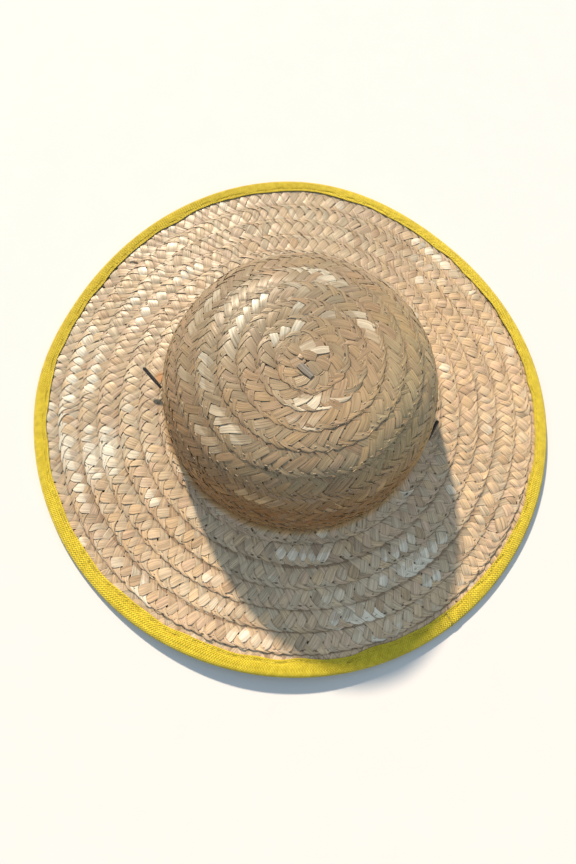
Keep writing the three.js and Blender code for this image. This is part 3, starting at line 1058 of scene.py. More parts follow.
def thread_finish(name, colour, dark):
    """Twisted cotton sewing thread."""
    finish = Finish(name, Roughness=0.75, Sheen_Weight=0.25)
    strand = finish.value("strand")["Vector"]
    run, turn, own = finish.apart(strand)
    twist = finish.plus(finish.over(run, 0.0011), finish.times(turn, 2.0))
    ply = finish.math("ABSOLUTE", finish.math("SINE", finish.times(twist, math.pi)))
    finish.base = finish.mix(finish.spread(ply, 0.0, 0.6), paint(dark), paint(colour))
    finish.cover(finish.spread(own, 0.6, 1.0, 0.0, 0.5), dark)
    finish.set(Base_Color=finish.base, Normal=finish.bump(ply, 0.6, 0.00008))
    return finish.material


def tape_finish(tape):
    """Bright cotton tape in a plain weave, darker where its inner hem puckers: painted shade in the puckers
    and between the threads, and on the side towards the sun.
    """
    finish = Finish("Binding Tape", Sheen_Weight=0.2, Sheen_Roughness=0.5, Specular_IOR_Level=0.3)
    place = finish.value("weave")["Vector"]
    pucker = finish.value("pucker")["Fac"]
    weave = finish.effect("Cloth Weave", Place=place, Thread=tape.thread)
    dust = finish.effect("Settled Dust", Place=finish.place(), Blotch_Size=0.0036, Speck_Size=0.0009)
    # Painted shade between the threads, in the deep colour, and in the hem's puckers
    raised = finish.spread(weave["Height"], 0.02, 0.5, 0.4, 1.0)
    finish.base = finish.mix(raised, paint(tape.colour_deep), paint(tape.colour))
    finish.cover(finish.times(weave["Threads"], 0.25), tape.colour_light)
    finish.cover(finish.spread(pucker, 0.05, 0.8, 0.0, 0.8), tape.colour_deep)
    finish.cover(finish.times(dust["Blotches"], 0.38), tape.colour_deep)
    # Painted shade on the tape's left and back left, the side towards the sun
    x, y, _ = finish.apart(finish.place())
    away = finish.minus(finish.times(x, 0.8), finish.times(y, 0.6))
    painted_sun_side_shade = finish.spread(away, -0.165, -0.07, 0.78, 1.0)
    finish.base = finish.mix(1.0, finish.base, finish.joined(painted_sun_side_shade, painted_sun_side_shade, painted_sun_side_shade), "MULTIPLY")
    normal = finish.bump(weave["Height"], 1.0, 0.00045)
    finish.set(Base_Color=finish.base, Normal=normal)
    finish.set(Roughness=finish.spread(dust["Blotches"], 0.0, 1.0, 0.72, 0.9))
    return finish.material


def tip_finish(elastic):
    """Hard black tip, worn to grey on its high places."""
    finish = Finish("Elastic Tip", Specular_IOR_Level=0.6)
    place = finish.place()
    dust = finish.effect("Settled Dust", Place=place, Blotch_Size=0.004, Speck_Size=0.0005)
    scratches = finish.noise(finish.scaled(place, (900.0, 900.0, 240.0)), 3.0, 0.6)
    mix_share = finish.times(finish.spread(scratches, 0.5, 0.7), 0.6)
    finish.base = finish.mix(mix_share, paint(elastic.tip_colour), paint(elastic.worn_colour))
    finish.cover(finish.times(dust["Specks"], 0.3), elastic.worn_colour)
    finish.set(Base_Color=finish.base, Roughness=finish.spread(scratches, 0.3, 0.7, 0.26, 0.5))
    finish.set(Normal=finish.bump(scratches, 0.2, 0.00005))
    return finish.material


def elastic_finish(elastic):
    """Round elastic in a braided cover."""
    finish = Finish("Braided Elastic", Sheen_Weight=0.3, Roughness=0.8)
    place = finish.place()
    cover = finish.effect("Cloth Weave", Place=finish.scaled(place, (1.0, 1.3, 0.8)), Thread=0.00055)
    dust = finish.effect("Settled Dust", Place=place, Blotch_Size=0.02, Speck_Size=0.0006)
    finish.base = finish.mix(cover["Height"], paint(elastic.cord_deep), paint(elastic.cord_colour))
    finish.cover(finish.times(dust["Specks"], 0.35), elastic.worn_colour)
    finish.set(Base_Color=finish.base, Normal=finish.bump(cover["Height"], 0.6, 0.0001))
    return finish.material


def floor_finish(stage):
    """Pale plain floor with a faint grain."""
    finish = Finish("Pale Floor", Roughness=0.85)
    grain = finish.noise(finish.scaled(finish.place(), (40.0, 40.0, 40.0)), 3.0, 0.5)
    deep = [channel * 0.97 for channel in stage.floor_colour]
    finish.base = finish.mix(grain, paint(stage.floor_colour), paint(deep))
    finish.set(Base_Color=finish.base)
    return finish.material


def curve_through(points, steps):
    """A centripetal Catmull-Rom curve through the points, as an even list of places."""
    points = np.array(points, float)
    before = 2 * points[0] - points[1]
    after = 2 * points[-1] - points[-2]
    knots = np.vstack((before, points, after))
    line = []
    for first in range(len(points) - 1):
        p0, p1, p2, p3 = knots[first : first + 4]
        d0, d1, d2 = (np.linalg.norm(b - a) ** 0.5 for a, b in ((p0, p1), (p1, p2), (p2, p3)))
        tangent_1 = (p1 - p0) / d0 - (p2 - p0) / (d0 + d1) + (p2 - p1) / d1
        tangent_2 = (p2 - p1) / d1 - (p3 - p1) / (d1 + d2) + (p3 - p2) / d2
        tangent_1 *= d1
        tangent_2 *= d1
        for t in np.arange(steps) / steps:
            a = 2 * p1 - 2 * p2 + tangent_1 + tangent_2
            b = -3 * p1 + 3 * p2 - 2 * tangent_1 - tangent_2
            line.append(((a * t + b) * t + tangent_1) * t + p1)
    line.append(points[-1])
    return np.array(line)


def cord_hole(side):
    """The way out of one of the crown's two cord holes, and where it stands on the crown."""
    outward = Vector((side * math.cos(CORD_ANGLE), -math.sin(CORD_ANGLE), 0))
    centre = outward * CROWN_RADIUS
    centre.z = FOOT_HEIGHT + CORD_HOLE_HEIGHT
    return outward, centre


def tip_start(side):
    outward, centre = cord_hole(side)
    return centre + outward * (PLAIT_STEP + CLEARANCE + TIP_DIAMETER / 2)


def cord_line():
    ends = []
    for side in (1, -1):
        outward, _ = cord_hole(side)
        ends.append(tip_start(side) - outward * (CLEARANCE + TIP_DIAMETER / 2))
    left = [(-x, y, z) for x, y, z in CORD_POINTS[::-1]]
    return curve_through([ends[0], *CORD_POINTS, CORD_MIDDLE, *left, ends[1]], 12)


def turned_piece(name, profile, start, direction, sides, material):
    """A turned form from (reach, distance) pairs, from its start along its direction."""
    along = Vector(direction).normalized()
    rings = len(profile)
    turn = np.arange(sides) / sides * 2 * math.pi
    reach = np.array([reach for reach, _ in profile])
    far = np.array([distance for _, distance in profile])
    local = np.stack(
        (
            reach[:, None] * np.cos(turn),
            reach[:, None] * np.sin(turn),
            np.broadcast_to(far[:, None], (rings, sides)),
        ),
        axis=-1,
    ).reshape(-1, 3)
    spin = np.array(Vector((0, 0, 1)).rotation_difference(along).to_matrix())
    points = local @ spin.T + np.array(start)
    here, beside = ring_places(rings, sides)
    quads = np.stack((here, beside, beside + sides, here + sides), axis=-1).reshape(-1, 4)
    u = np.arange(sides) / sides
    v = np.arange(rings - 1) / (rings - 1)
    u, v = np.meshgrid(u, v)
    step_u, step_v = 1 / sides, 1 / (rings - 1)
    uv = np.stack(
        (
            np.stack((u, u + step_u, u + step_u, u), axis=-1),
            np.stack((v, v, v + step_v, v + step_v), axis=-1),
        ),
        axis=-1,
    )
    return mesh_object(name, points, quads, material, uv.reshape(-1, 2))


# Loose straws: start, end, width and lift at both ends in millimetres, and tone
STRAW_ENDS = (
    ((11.2, 7.0), (1.2, 2.9), 4.6, (0.5, 0.9), (0.4, 0.92, 0.5)),
    ((2.6, 9.0), (-4.6, 3.4), 5.4, (0.4, 0.7), (0.6, 0.74, 0.6)),
    ((-11.0, 4.4), (-3.2, 1.6), 5.8, (0.3, 0.6), (0.5, 0.4, 0.4)),
    ((13.0, -3.4), (4.2, -1.4), 6.4, (0.3, 0.6), (0.5, 0.4, 0.3)),
    ((-8.0, -6.2), (-1.6, -1.0), 6.4, (0.3, 0.6), (0.7, 0.4, 0.2)),
    ((8.6, -8.2), (1.6, -2.6), 6.2, (0.3, 0.7), (0.3, 0.3, 0.7)),
    ((-3.4, 1.2), (5.0, 0.4), 5.8, (0.7, 0.9), (0.55, 0.3, 0.3)),
    ((-4.9, -0.2), (-2.4, -1.4), 2.2, (1.1, 1.4), (0.5, 1.0, 0.5)),
    ((-136.2, 84.0), (-130.6, 84.9), 1.1, (0.9, 1.5), (0.5, 1.0, 0.5)),
)

# A weathered bit of straw caught in front of the crown's top
GREY_BIT = ((-3.9, -5.4), (4.8, -11.2), 4.2, (0.9, 1.1), (0.5, 0.4, 0.5))


def length_at(place):
    """Length from the crown's top at which the hat's middle has this reach."""
    reach = math.hypot(*place)
    if reach < CROWN_RADIUS * 0.8:
        return float(np.interp(reach, OUTLINE[1], OUTLINE[0]))
    spread = float(edge_at(np.array([math.degrees(math.atan2(place[1], place[0]))]))[1][0])
    return CORNER_LENGTH + (reach - CORNER_RADIUS) * BRIM_LENGTH / (EDGE_RADIUS * spread - CORNER_RADIUS)


def loose_straw(plait, straw, noise):
    """One short straw that lies on the hat, with its values."""
    start, finish, width, lifts, (warm, light, grey) = straw
    start = Vector(start) / 1000
    finish = Vector(finish) / 1000
    ahead = (finish - start).normalized()
    aside = Vector((-ahead.y, ahead.x))
    width = width / 1000
    drawn = straw_steps(CROWN_WEAVE)
    steps = len(drawn)
    bow = noise.draw.normal(0, 0.0004)
    azimuth = np.zeros((steps, 5))
    length = np.zeros((steps, 5))
    for step, share in enumerate(drawn):
        line = start.lerp(finish, share) + aside * bow * math.sin(math.pi * share)
        slim = 0.8 + 0.2 * math.sin(math.pi * min(1, share * 1.2))
        for place, reach in enumerate(RIBBON_ACROSS):
            point = line + aside * (reach * width * slim / 2)
            azimuth[step, place] = math.degrees(math.atan2(point.y, point.x))
            length[step, place] = length_at(point)
    rise = np.interp(drawn, (0, 1), lifts)[:, None] / 1000
    rise = rise + 0.00015 * np.sin(math.pi * drawn)[:, None]
    back = plait.straw_back * width / 0.0048
    tops, _ = hat_point(azimuth, length, rise + back * RIBBON_BACK)
    unders, _ = hat_point(azimuth[:, 2], length[:, 2], rise[:, 0] + back - plait.straw_thickness)
    run = np.repeat(drawn[:, None] * (finish - start).length, 6, axis=1)
    wide = np.repeat(np.append(RIBBON_ACROSS, 0)[None] * width / 2, steps, axis=0)
    own = np.full((steps, 6), noise.draw.random())
    values = {
        "strand": np.stack((run, wide, own), axis=-1),
        "row": np.stack((run * 0, run * 0, run * 0 + 0.02), axis=-1),
        "tone": np.tile(np.array((warm, light, grey, 0.0)), (steps, 6, 1)),
    }
    return tops, unders, values


# The binding's ends lap in this direction, in degrees: where, how far, how softly and how thick
TAPE_JOINT = -44.5
JOINT_PLACE = 0.0035
JOINT_HALF = 0.0028
JOINT_EDGE = 0.0005
JOINT_RISE = 0.00028
# The binding's mesh: columns round the brim, and bands that its bake layout is cut into
TAPE_COLUMNS = 1080
TAPE_BANDS = 8
# Distances of the tape's rings from its hem, on its face
FACE_INSETS = np.array((0, 0.12, 0.32, 0.6, 0.95, 1.3, 1.65, 2.0, 2.35, 2.7, 3.1, 3.6, 4.1, 4.7, 5.3)) / 1000
# Rings round the brim's edge: distances in from the edge, and heights over the plait's middle
EDGE_FOLD = np.array(
    (
        (1.5, 1.79),
        (0.6, 1.66),
        (-0.2, 1.32),
        (-0.72, 0.82),
        (-0.98, 0.15),
        (-0.99, -0.6),
        (-0.8, -1.3),
        (-0.3, -1.85),
        (0.5, -2.18),
        (1.4, -2.33),
    )
) / 1000
# Rings that the lap thickens: the face and most of the fold
OUTER_RINGS = len(FACE_INSETS) + 8
# Distances of the tape's rings from its hem, below the brim
UNDER_INSETS = np.array((5.2, 4.4, 3.6, 2.9, 2.4, 2.0, 1.5, 0.9, 0.35, 0.1, 0)) / 1000
# The tape's inner face: shares of the hem's distance from the edge, and heights in millimetres
INSIDE_COURSES = (
    (1.0, -0.9),
    (0.6, -0.95),
    (0.1, -1.0),
    (-0.03, 0),
    (0.1, 1.1),
    (0.55, 1.05),
    (0.98, 0.95),
)
# Waves round the tape: least and greatest number round the brim, and how many are summed
TAPE_WAVES = {"hem": (5, 46, 14), "groove": (9, 60, 12), "pucker": (14, 90, 16), "ripple": (60, 210, 24)}
GROOVE_WAVE = 0.0005
RIPPLE = 0.00016
# The tape's middle's radius, its height at the hem, and the shapes of the hem and of its groove
TAPE_RADIUS = EDGE_RADIUS - 0.004
TAPE_FACE = 0.0013
FACE_REACH = 0.0085
HEM_ROUND = 0.00016
HEM_ROUND_REACH = 0.00018
GROOVE_REACH = 0.0005
# The threads and the hem's stitches
SEAM_THREAD_RADIUS = 0.00024
HEM_THREAD_RADIUS = 0.00022
HEM_STITCH_PITCH = 0.0033
HEM_STITCH_HALF = 0.00125
# Play of the seam's stitches in length and in slant
STITCH_PLAY = (0.9, 1.05)
STITCH_SLANT = 0.00012
# Heights of a stitch from end to end
SEAM_ARCH = np.array((-0.5, 0.12, 0.24, 0.24, 0.12, -0.5)) * 0.001
HEM_ARCH = np.array((-0.4, 0.1, 0.2, 0.2, 0.1, -0.4)) * 0.001


def ring_wave(noise, turn, low, high, count):
    """A seeded wave round the whole ring, about one high."""
    total = np.zeros(turn.shape)
    for _ in range(count):
        frequency = int(noise.draw.integers(low, high))
        total += np.sin(np.radians(turn) * frequency + noise.draw.uniform(0, 2 * math.pi))
    return total / math.sqrt(count)


def hem_height(inset):
    """Height of the tape's face over the plait's middle, at a distance out from its hem."""
    return TAPE_FACE + 0.0005 * float(smooth(inset / 0.006))


def plait_settles(plait, azimuth):
    """How far the tape's hem sinks where only the outermost row of plait lies under it."""
    final = HAT_LENGTH - PlaitPath.EDGE_GAP - plait.width / 2
    last = -90 + 360 * (len(FRONT_ROWS) - 1 + (final - FRONT_ROWS[-1]) / plait.pitch)
    share = np.mod((azimuth - last) / 360, 1)
    edge = PlaitPath.EDGE_GAP + plait.pitch * (1 - share)
    return 0.0004 * smooth((edge - 0.0095) / 0.0024)


def weld_ends(mesh):
    """Gives the two ends of a closed ring the same normals by joining their points."""
    form = bmesh.new()
    form.from_mesh(mesh)
    bmesh.ops.remove_doubles(form, verts=[vertex for vertex in form.verts if vertex.is_boundary], dist=1e-6)
    form.to_mesh(mesh)
    form.free()


def length_property(name, description, default):
    return FloatProperty(name=name, description=description, default=default, unit="LENGTH")


def colour_property(name, description, default):
    return FloatVectorProperty(name=name, description=description, default=default, subtype="COLOR")


class PlaitSettings(PropertyGroup):
    """Sizes and colours of the straw plait."""

    width: length_property("Plait Width", "Width of the plait", 0.017)
    pitch: length_property("Row Pitch", "Distance from one row to the next", 0.0136)
    straw_spacing: length_property("Straw Spacing", "Distance along a row from one straw to the next", 0.007)
    straw_thickness: length_property("Straw Thickness", "Thickness of one straw", 0.00024)
    straw_back: length_property("Straw Back", "How far a straw's back stands over its margins", 0.00005)
    pillow: length_property("Arch", "How far a straw arches over the others", 0.0002)
    rise: length_property("Weave Rise", "Height of an upper straw over the middle", 0.0002)
    thickness: length_property("Plait Thickness", "Thickness of the whole plait", 0.0007)
    tilt: length_property("Row Tilt", "How far a row's outer edge stands over its inner one", 0.00056)
    scallop: length_property("Edge Scallop", "How far the folds of the margin notch in", 0.0014)
    seam_inset: length_property("Seam Inset", "Distance of the seam from a row's outer edge", 0.0032)
    seam_depth: length_property("Seam Depth", "How deep the seam pulls the plait in", 0.0002)
    stitch_pitch: length_property("Stitch Pitch", "Distance between the seam's stitches", 0.0062)
    stitch_length: length_property("Stitch Length", "Length of a stitch on the face", 0.0021)
    gloss: FloatProperty(
        name="Straw Roughness",
        description="Roughness of the straw at its smoothest",
        default=0.34,
        min=0,
        max=1,
    )
    straw_half: length_property("Straw Half Width", "Half the width of one straw", 0.0024)
    straw_tan: colour_property("Tan", "Main straw colour", (0.56, 0.425, 0.285))
    straw_gold: colour_property("Gold", "Warmer straws", (0.60, 0.44, 0.27))
    straw_rose: colour_property("Rose", "Pinkish straws", (0.555, 0.405, 0.295))
    straw_grey: colour_property("Grey Green", "Greenish straws", (0.49, 0.43, 0.32))
    # Pale straws, and the painted glints of the sun and reflections of the sky on the straws
    straw_cream: colour_property("Cream", "Pale straws", (0.77, 0.71, 0.58))
    # Brown of darker straws and dust, and of the painted shadow along the row lines
    straw_brown: colour_property("Brown", "Darker straws and dirt", (0.36, 0.24, 0.145))
    # Darker tone that the whole crown is multiplied by
    crown_dimming: colour_property("Handled", "What the crown's wear takes off its colour", (0.56, 0.555, 0.52))
    greened: colour_property("Greened", "Greener straws at the crown's right", (0.92, 1.0, 0.93))
    # Colour that darkens the crown towards its foot, and the painted shade on the crown's front
    foot_tone_and_shade: colour_property("Sweated", "What the foot of the crown has darkened by", (0.86, 0.72, 0.52))
    straw_stain: colour_property("Stain", "Orange brown stain", (0.42, 0.19, 0.06))
    grey_light: colour_property("Weathered", "Weathered bit of straw", (0.31, 0.295, 0.27))
    grey_dark: colour_property("Weathered Shade", "Its darker parts", (0.15, 0.13, 0.105))
    thread_colour: colour_property("Seam Thread", "Colour of the seam's thread", (0.50, 0.41, 0.29))
    thread_dark: colour_property("Thread Shade", "Thread between its plies", (0.22, 0.16, 0.10))


class TapeSettings(PropertyGroup):
    """Sizes and colours of the brim's binding."""

    width: length_property("Tape Width", "From the brim's edge to the hem", 0.0085)
    front_width: length_property("Front Width", "How much wider the tape shows at the front", 0.0018)
    thread: length_property("Thread Pitch", "Distance between the tape's threads", 0.0012)
    pucker: length_property("Pucker Height", "Height of the hem's puckers", 0.0005)
    hem_wave: length_property("Hem Wave", "How far the hem wanders", 0.0006)
    stitch_inset: length_property("Stitch Inset", "Distance of the stitches from the hem", 0.0021)
    colour: colour_property("Tape", "Main colour of the tape", (0.8, 0.645, 0.035))
    colour_light: colour_property("Light Thread", "Lighter threads", (0.9, 0.76, 0.08))
    # Painted shade between the tape's threads and in the hem's puckers
    colour_deep: colour_property("Deep Thread", "Colour between threads and in puckers", (0.36, 0.25, 0.008))


class ElasticSettings(PropertyGroup):
    """Colours of the chin elastic and its tips."""

    tip_colour: colour_property("Tip", "Colour of the tips", (0.012, 0.012, 0.014))
    worn_colour: colour_property("Worn Tip", "Worn places and dust", (0.12, 0.12, 0.13))
    cord_colour: colour_property("Elastic", "Colour of the elastic", (0.03, 0.03, 0.034))
    cord_deep: colour_property("Elastic Shade", "Between the braid's threads", (0.008, 0.008, 0.009))


class StageSettings(PropertyGroup):
    """Floor and light."""

    floor_colour: colour_property("Floor", "Colour of the floor", (0.70, 0.72, 0.76))
    sun_strength: FloatProperty(
        name="Key Light", description="Strength of the key light", default=5.95, min=0
    )
    sun_softness: FloatProperty(
        name="Key Softness", description="Angle of the key light", default=math.radians(3), unit="ROTATION"
    )
    fill_strength: FloatProperty(name="Fill Light", description="Strength of the fill", default=0.56, min=0)
    fill_colour: colour_property("Fill Colour", "Colour of the fill", (0.7, 0.84, 0.95))


class HatSettings(PropertyGroup):
    """All that a user would change on the hat."""

    plait: PointerProperty(name="Plait", description="The straw plait", type=PlaitSettings)
    tape: PointerProperty(name="Tape", description="The brim's binding", type=TapeSettings)
    elastic: PointerProperty(name="Elastic", description="The chin elastic", type=ElasticSettings)
    stage: PointerProperty(name="Stage", description="The floor and light", type=StageSettings)


# The floor's reach to each side of the hat, and the way to the sun and its colour
FLOOR_REACH = 6.0
SUN_DIRECTION = (-0.392, 0.708, 0.588)
SUN_COLOUR = (1.0, 0.80, 0.58)

# The camera's lens and sensor in millimetres, its place, and its axes
CAMERA_LENS = 28.90
CAMERA_SENSOR = 36.0
CAMERA_PLACE = (-0.005587, -0.146141, 0.4571)
CAMERA_TURN = (
    (0.98176, -0.18998, -0.00776),
    (0.18071, 0.94498, -0.27267),
    (0.05913, 0.26630, 0.96208),
)

# Seeds of the random draws
SEEDS = {"path": 11, "crown": 23, "brim": 29, "seam": 37, "ends": 51, "binding": 71}


class HAT_OT_stage(Operator):
    """Makes the pale floor, the light and the camera"""

    bl_idname = "hat.stage"
    bl_label = "Floor, Light and Camera"

    def execute(self, context):
        stage = context.scene.straw_hat.stage
        mesh = bpy.data.meshes.new("floor")
        corners = [(x * FLOOR_REACH, y * FLOOR_REACH, 0) for x, y in ((-1, -1), (1, -1), (1, 1), (-1, 1))]
        mesh.from_pydata(corners, [], [(0, 1, 2, 3)])
        mesh.materials.append(floor_finish(stage))
        floor = linked_object("floor", mesh)

        sun = bpy.data.lights.new("key_light", "SUN")
        sun.energy = stage.sun_strength
        sun.angle = stage.sun_softness
        sun.color = SUN_COLOUR
        key = linked_object("key_light", sun)
        key.rotation_euler = Vector(SUN_DIRECTION).to_track_quat("Z", "Y").to_euler()

        world = bpy.data.worlds.new("fill_light")
        world.use_nodes = True
        sky = NodeSheet(world.node_tree)
        background = world.node_tree.nodes["Background"]
        background.inputs["Strength"].default_value = stage.fill_strength
        upward = sky.apart(sky.add("ShaderNodeTexCoord").outputs["Generated"])[2]
        low = [channel * 0.3 for channel in stage.fill_colour]
        high = [channel * 1.25 for channel in stage.fill_colour]
        sky.feed(background.inputs["Color"], sky.mix(sky.spread(upward, 0.0, 0.9), paint(low), paint(high)))
        context.scene.world = world
        context.scene.view_settings.view_transform = "Standard"

        camera = bpy.data.cameras.new("camera")
        camera.sensor_width = CAMERA_SENSOR
        camera.lens = CAMERA_LENS
        eye = linked_object("camera", camera)
        eye.matrix_world = Matrix.Translation(CAMERA_PLACE) @ Matrix(CAMERA_TURN).to_4x4()
        context.scene.camera = eye
        return {"FINISHED"}


class HAT_OT_elastic(Operator):
    """Makes the chin elastic and the tips that hold it in the crown"""

    bl_idname = "hat.elastic"
    bl_label = "Chin Elastic"

    def execute(self, context):
        elastic = context.scene.straw_hat.elastic
        radius = TIP_DIAMETER / 2
        crimp = TIP_CRIMP_LENGTH
        profile = (
            (radius * 0.05, 0),
            (radius * 0.7, 0),
            (radius * 0.84, 0.0002),
            (radius * 0.86, crimp * 0.22),
            (radius * 0.76, crimp * 0.3),
            (radius * 0.76, crimp * 0.4),
            (radius * 0.86, crimp * 0.48),
            (radius * 0.86, crimp * 0.62),
            (radius * 0.76, crimp * 0.7),
            (radius * 0.77, crimp * 0.82),
            (radius * 0.9, crimp * 0.92),
            (radius * 0.97, crimp + radius / 2),
            (radius, crimp + radius),
            (radius, TIP_LENGTH * 0.6),
            (radius, TIP_LENGTH - radius),
            (radius * 0.93, TIP_LENGTH - radius * 0.62),
            (radius * 0.7, TIP_LENGTH - radius * 0.28),
            (radius * 0.36, TIP_LENGTH - radius * 0.06),
            (radius * 0.04, TIP_LENGTH),
        )
        finish = tip_finish(elastic)
        for tip in TIPS:
            piece = turned_piece(
                tip["name"] + "_tip", profile, tip_start(tip["side"]), tip["direction"], 24, finish
            )
            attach(piece, "root")
            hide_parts(tip["name"])

        line = cord_line()
        curve = bpy.data.curves.new("chin_elastic", "CURVE")
        curve.dimensions = "3D"
        curve.bevel_depth = CORD_DIAMETER / 2
        curve.bevel_resolution = 4
        curve.use_fill_caps = True
        spline = curve.splines.new("POLY")
        spline.points.add(len(line) - 1)
        for point, place in zip(spline.points, line):
            point.co = (*place, 1)
        curve.materials.append(elastic_finish(elastic))
        cord = linked_object("chin_elastic", curve)
        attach(cord, "root")
        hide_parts("chin_cord")
        return {"FINISHED"}


class HAT_OT_plait(Operator):
    """Makes the crown and brim of one long plait, each straw its own strip"""

    bl_idname = "hat.plait"
    bl_label = "Straw Plait"

    def execute(self, context):
        plait = context.scene.straw_hat.plait
        path = PlaitPath(plait, Noise(SEEDS["path"]))
        finish = straw_finish(plait)
        foot = CORNER_LENGTH
        crown = plait_straws(plait, path, CROWN_WEAVE, Noise(SEEDS["crown"]))
        brim = plait_straws(plait, path, BRIM_WEAVE, Noise(SEEDS["brim"]))
        parts = (
            ("crown_plait_top", "crown", crown, 0, foot * 0.62),
            ("crown_plait_side", "crown", crown, foot * 0.62, foot),
            ("brim_plait_inner", "brim", brim, foot, foot + BRIM_LENGTH * 0.55),
            ("brim_plait_outer", "brim", brim, foot + BRIM_LENGTH * 0.55, 1),
        )
        for name, node, straws, start, end in parts:
            chosen = (straws["level"] >= start) & (straws["level"] < end)
            values = value_set(straws, chosen)
            piece = ribbon_object(name, straws["tops"][chosen], straws["unders"][chosen], values, finish)
            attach(piece, "root")
            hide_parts(node)
        return {"FINISHED"}


class HAT_OT_seam(Operator):
    """Sews the rows together with short stitches along each row's outer edge"""

    bl_idname = "hat.seam"
    bl_label = "Seam Thread"

    def execute(self, context):
        plait = context.scene.straw_hat.plait
        path = PlaitPath(plait, Noise(SEEDS["path"]))
        noise = Noise(SEEDS["seam"])
        count = int((path.length - 0.02) / plait.stitch_pitch)
        centre = (np.arange(count) + 0.5) * plait.stitch_pitch
        share = np.linspace(-1, 1, 6)
        reach = plait.stitch_length / 2 * noise.draw.uniform(*STITCH_PLAY, count)[:, None]
        along = centre[:, None] + share * reach
        slant = noise.draw.normal(0, STITCH_SLANT, count)[:, None]
        across = path.width / 2 - plait.seam_inset + share * slant
        lift = SEAM_ARCH + plait.rise - plait.seam_depth + plait.straw_back
        points, normals = path.place(along, across, np.broadcast_to(lift, along.shape))
        finish = thread_finish("Seam Thread", plait.thread_colour, plait.thread_dark)
        piece = tube("seam_stitches", (points, normals), SEAM_THREAD_RADIUS, 0.8, finish)
        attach(piece, "root")
        return {"FINISHED"}


class HAT_OT_straw_ends(Operator):
    """Adds the bunched straw ends at the crown's top and the loose splinter on the brim"""

    bl_idname = "hat.straw_ends"
    bl_label = "Straw Ends"

    def execute(self, context):
        plait = context.scene.straw_hat.plait
        finish = bpy.data.materials["Split Straw"]
        noise = Noise(SEEDS["ends"])
        rows = {"tops": [], "unders": [], "strand": [], "row": [], "tone": []}
        for straw in STRAW_ENDS:
            tops, unders, values = loose_straw(plait, straw, noise)
            rows["tops"].append(tops)
            rows["unders"].append(unders)
            for key in ("strand", "row", "tone"):
                rows[key].append(values[key])
        straws = {key: np.array(found) for key, found in rows.items()}
        piece = ribbon_object("straw_ends", straws["tops"], straws["unders"], value_set(straws), finish)
        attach(piece, "root")

        tops, unders, values = loose_straw(plait, GREY_BIT, noise)
        bit = {key: found[None] for key, found in values.items()}
        finish = grey_straw_finish(plait)
        piece = ribbon_object("grey_straw_bit", tops[None], unders[None], value_set(bit), finish)
        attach(piece, "root")
        return {"FINISHED"}


